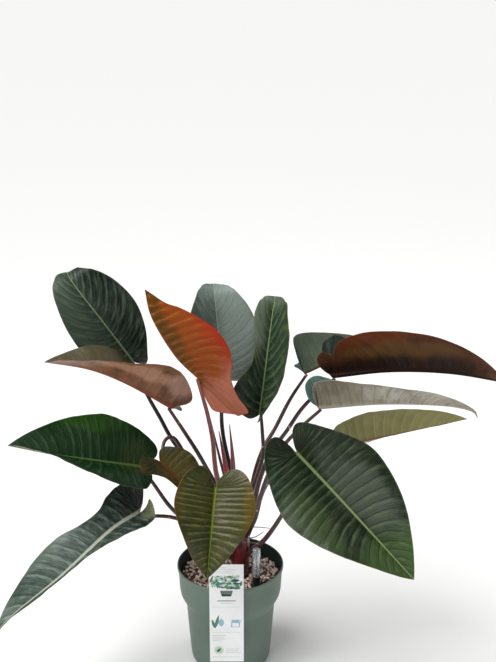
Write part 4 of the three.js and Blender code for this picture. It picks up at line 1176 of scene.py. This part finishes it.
# places are seen from the front; tongue: its bends as place back and height, and which way its two
# faces lie from there
card = dict(
    left=-33, right=23, low=46, high=229, front=-91.3, thick=.8,
    slot=[(-12.5, 169.7), (2.5, 169.7), (5.5, 180.7), (-15.5, 180.7)], tongueSides=(-12.5, 2.5),
    tongue=[(-91.3, 180.7, 0, 1), (-86, 180.7, 0, 1), (-85.2, 180.5, .5, 1), (-84.9, 179.8, 1, 0),
            (-84.9, 169.8, 1, 0)],
    white=(240, 242, 242),
    whiteFinish=dict(rough=.34, shade=.95, size=30.0, coat=.3, reliefStrength=.1),
    inkFinish=dict(rough=.34, shade=.88, size=260.0, coat=.3, reliefStrength=.1))
inks = dict(
    teal=(58, 112, 108), green=(84, 132, 96), deep=(30, 72, 62), pale=(176, 206, 188),
    grey=(150, 156, 158), blue=(150, 186, 208), ink=(84, 90, 92), badge=(186, 212, 180))
slotOf = {key: number for number, key in enumerate(inks, 1)}

# the print: a band of small leaves, bars as place, height, width and thickness, a watering drawing
# and a round badge
band = dict(
    left=-32.6, right=22.6, low=182.4, high=210, count=44, seed=4, length=(10, 19), width=(1.6, 3.6),
    lift=.05, liftStep=.002,
    inks=("pale", "teal", "pale", "green", "teal", "pale", "deep", "green"))
bars = dict(
    grey=[(-29, 223, 24, .5), (-29, 219.6, 40, .35), (-29, 216.6, 33, .35), (-29, 213.6, 37, .35),
          (-15, 157, 20, .6), (-29, 150, 46, .3), (-29, 102, 46, .3), (-29, 96, 22, .5),
          (-29, 92.6, 19, .5), (-29, 89.2, 24, .5), (-29, 85.8, 16, .5), (-29, 55, 46, .4),
          (-6, 63, 24, .5), (-6, 66.4, 20, .5), (-6, 69.8, 22, .5)],
    ink=[(-20, 161, 30, 1.5)])
watering = dict(
    can=[(2, 112), (17, 112), (16, 126), (3, 126)],
    spout=[(16.4, 118), (20, 127), (19.2, 127.4), (16, 120)],
    window=[(4, 113.2), (15.2, 113.2), (14.6, 120), (4.6, 120)],
    drop=dict(x=-14, z=120, width=4.6, height=6.4, narrow=.25, point=3.6, count=28),
    blades=[((-24, 110, 26, 3.2, 76), "green", .05), ((-24, 110, 18, 2.8, 108), "teal", .06)])
badge = dict(x=-18, z=68, radius=8, line=.7, ringCount=40, disc=6.6, discCount=36,
             blade=(-21.5, 64.5, 10, 2.4, 46))


def flatShape(form, points, slot, lift=0.05):
    # a printed patch on the card's front
    y = (card["front"] - lift) * .001
    verts = [form.verts.new((x * .001, y, z * .001)) for x, z in points]
    face = form.faces.new(verts)
    face.material_index = slot
    face.normal_update()
    if face.normal.y > 0:
        face.normal_flip()


def leafPatch(x, z, length, width, angle, count=12, blunt=.8, narrow=.35):
    line = []
    for k in range(count + 1):
        f = k / count
        line.append((f * length, width * sin(pi * f) ** blunt * (1 - narrow * f)))
    line += [(p[0], -p[1]) for p in reversed(line[1:-1])]
    ahead, aside = cos(radians(angle)), sin(radians(angle))
    return [(x + px * ahead - pz * aside, z + px * aside + pz * ahead) for px, pz in line]


def bar(x, z, width, height):
    return [(x, z), (x + width, z), (x + width, z + height), (x, z + height)]


def roundPoints(x, z, radius, count):
    return [(x + cos(tau * k / count) * radius, z + sin(tau * k / count) * radius)
            for k in range(count)]


def dropPoints(x, z, width, height, narrow, point, count):
    line = []
    for k in range(count):
        angle = tau * k / count
        top = point if k == count // 2 else 0
        aside = width * sin(angle) * (1 - narrow * cos(angle))
        line.append((x + aside, z - height * cos(angle) + top))
    return line


def makePlate(form):
    # the front round its slot, pushed back to the plate's thickness
    left, right, low, high = (card[key] for key in ("left", "right", "low", "high"))
    outer, slot = [(left, low), (right, low), (right, high), (left, high)], card["slot"]
    for a in range(4):
        b = (a + 1) % 4
        flatShape(form, [outer[a], outer[b], slot[b], slot[a]], 0, 0)
    bmesh.ops.remove_doubles(form, verts=form.verts, dist=1e-7)
    pushed = bmesh.ops.extrude_face_region(form, geom=form.faces[:])
    for vertex in [v for v in pushed["geom"] if isinstance(v, bmesh.types.BMVert)]:
        vertex.co.y += card["thick"] * .001
    bmesh.ops.recalc_face_normals(form, faces=form.faces)


def makeTongue(form):
    # a strip bent over the rim
    last = len(card["tongue"]) - 1
    rows = {}
    for side in (-1, 1):
        off = side * card["thick"] / 2
        line = [(y + off * offY, z + off * offZ) for y, z, offY, offZ in card["tongue"]]
        row = [[form.verts.new((x * .001, y * .001, z * .001)) for y, z in line]
               for x in card["tongueSides"]]
        for i in range(last):
            face = form.faces.new((row[0][i], row[1][i], row[1][i + 1], row[0][i + 1]))
            if side < 0:
                face.normal_flip()
        rows[side] = row
    under, upper = rows[-1], rows[1]
    for i in range(last):
        for k in (0, 1):
            a, b, c, d = upper[k][i], upper[k][i + 1], under[k][i + 1], under[k][i]
            form.faces.new((a, b, c, d) if k else (d, c, b, a))
    form.faces.new((upper[0][-1], upper[1][-1], under[1][-1], under[0][-1]))
    form.faces.new((under[0][0], under[1][0], upper[1][0], upper[0][0]))


def makeBand(form):
    # small leaves in four inks, drawn until enough of them lie inside the band
    draw = np.random.default_rng(band["seed"])
    made = 0
    while made < band["count"]:
        x, z = draw.uniform(band["left"], band["right"]), draw.uniform(band["low"], band["high"])
        length, width = draw.uniform(*band["length"]), draw.uniform(*band["width"])
        patch = leafPatch(x, z, length, width, draw.uniform(0, 360))
        if all(band["left"] < px < band["right"] and band["low"] < pz < band["high"]
               for px, pz in patch):
            tone = band["inks"][made % len(band["inks"])]
            flatShape(form, patch, slotOf[tone], band["lift"] + band["liftStep"] * made)
            made += 1


def makePrint(form):
    for tone, places in bars.items():
        for place in places:
            flatShape(form, bar(*place), slotOf[tone])
    flatShape(form, watering["can"], slotOf["blue"])
    flatShape(form, watering["spout"], slotOf["blue"])
    flatShape(form, watering["window"], 0, .07)
    flatShape(form, dropPoints(**watering["drop"]), slotOf["blue"])
    for place, tone, lift in watering["blades"]:
        flatShape(form, leafPatch(*place), slotOf[tone], lift)
    x, z, radius, count = badge["x"], badge["z"], badge["radius"], badge["ringCount"]
    outer, inner = (roundPoints(x, z, r, count) for r in (radius, radius - badge["line"]))
    for a in range(count):
        b = (a + 1) % count
        flatShape(form, [outer[a], outer[b], inner[b], inner[a]], slotOf["badge"])
    flatShape(form, roundPoints(x, z, badge["disc"], badge["discCount"]), slotOf["badge"])
    flatShape(form, leafPatch(*badge["blade"]), slotOf["deep"], .08)


form = bmesh.new()
for makePart in (makePlate, makeTongue, makeBand, makePrint):
    makePart(form)
cardMesh = bpy.data.meshes.new("cardPlate")
form.to_mesh(cardMesh)
form.free()
cardMaterials = [plasticMaterial("card_white", card["white"], **card["whiteFinish"])]
cardMaterials += [plasticMaterial(f"card_{key}", tone, **card["inkFinish"])
                  for key, tone in inks.items()]
settle(newObject("cardPlate", cardMesh, cardMaterials, smooth=False), "card_plastic", "card")
print("card done")


# Camera, floor and light

view = dict(place=(0.030, -1.707, 1.180), down=18.9, focal=1140, longSide=662, sensor=36, clipEnd=40)
camera = placed("camera", bpy.data.cameras.new("camera"))
camera.location = view["place"]
camera.rotation_euler = (radians(90 - view["down"]), 0, 0)
camera.data.sensor_width = view["sensor"]
camera.data.lens = view["focal"] / view["longSide"] * view["sensor"]
camera.data.clip_end = view["clipEnd"]
bpy.context.scene.camera = camera

# the backdrop is as pale as the floor where it is seen, and softer where it lights
studio = dict(
    floorSize=140, floorTone=(246, 246, 245), floorRough=0.8, floorGloss=0.2,
    worldTone=(255, 255, 255), worldStrength=0.27, worldSeen=0.95)
floorMesh = bpy.data.meshes.new("floor")
edge = studio["floorSize"] / 2
floorMesh.from_pydata([(-edge, -edge, 0), (edge, -edge, 0), (edge, edge, 0), (-edge, edge, 0)], [],
                      [(0, 1, 2, 3)])
floorMaterial = newMaterial("paleFloor", {
    "Base Color": studio["floorTone"], "Roughness": studio["floorRough"],
    "Specular IOR Level": studio["floorGloss"]})[0]
floor = newObject("floor", floorMesh, [floorMaterial], smooth=False)

world = bpy.data.worlds.new("studio")
bpy.context.scene.world = world
world.use_nodes = True
sky = NodeWriter(world.node_tree)
backdrop = world.node_tree.nodes["Background"]
seen = sky.add("ShaderNodeLightPath").outputs["Is Camera Ray"]
lit = sky.times(seen, studio["worldSeen"] - studio["worldStrength"])
sky.put(backdrop.inputs["Color"], studio["worldTone"])
sky.put(backdrop.inputs["Strength"], sky.plus(lit, studio["worldStrength"]))


def aimed(direction):
    return Vector(direction).to_track_quat("-Z", "Y").to_euler()


# one wide sun lights the whole floor evenly, the two panels give the leaves their soft sheen
sun = dict(power=2.75, angle=44, towards=(0.42, 0.30, -1.0))
sunHolder = placed("sun", bpy.data.lights.new("sun", "SUN"))
sunHolder.data.energy = sun["power"]
sunHolder.data.angle = radians(sun["angle"])
sunHolder.rotation_euler = aimed(sun["towards"])

panels = dict(
    key=dict(place=(-1.6, -0.9, 1.9), size=(0.9, 0.9), power=14),
    rim=dict(place=(1.3, 0.9, 1.9), size=(0.7, 1.1), power=9),
)
aim = Vector((0.03, 0, 0.38))
for name, panel in panels.items():
    holder = placed(name, bpy.data.lights.new(name, "AREA"))
    holder.data.shape = "RECTANGLE"
    holder.data.size, holder.data.size_y = panel["size"]
    holder.data.energy = panel["power"]
    holder.location = panel["place"]
    holder.rotation_euler = aimed(aim - Vector(panel["place"]))
bpy.context.scene.view_settings.view_transform = "Standard"
print("camera, floor and light done")
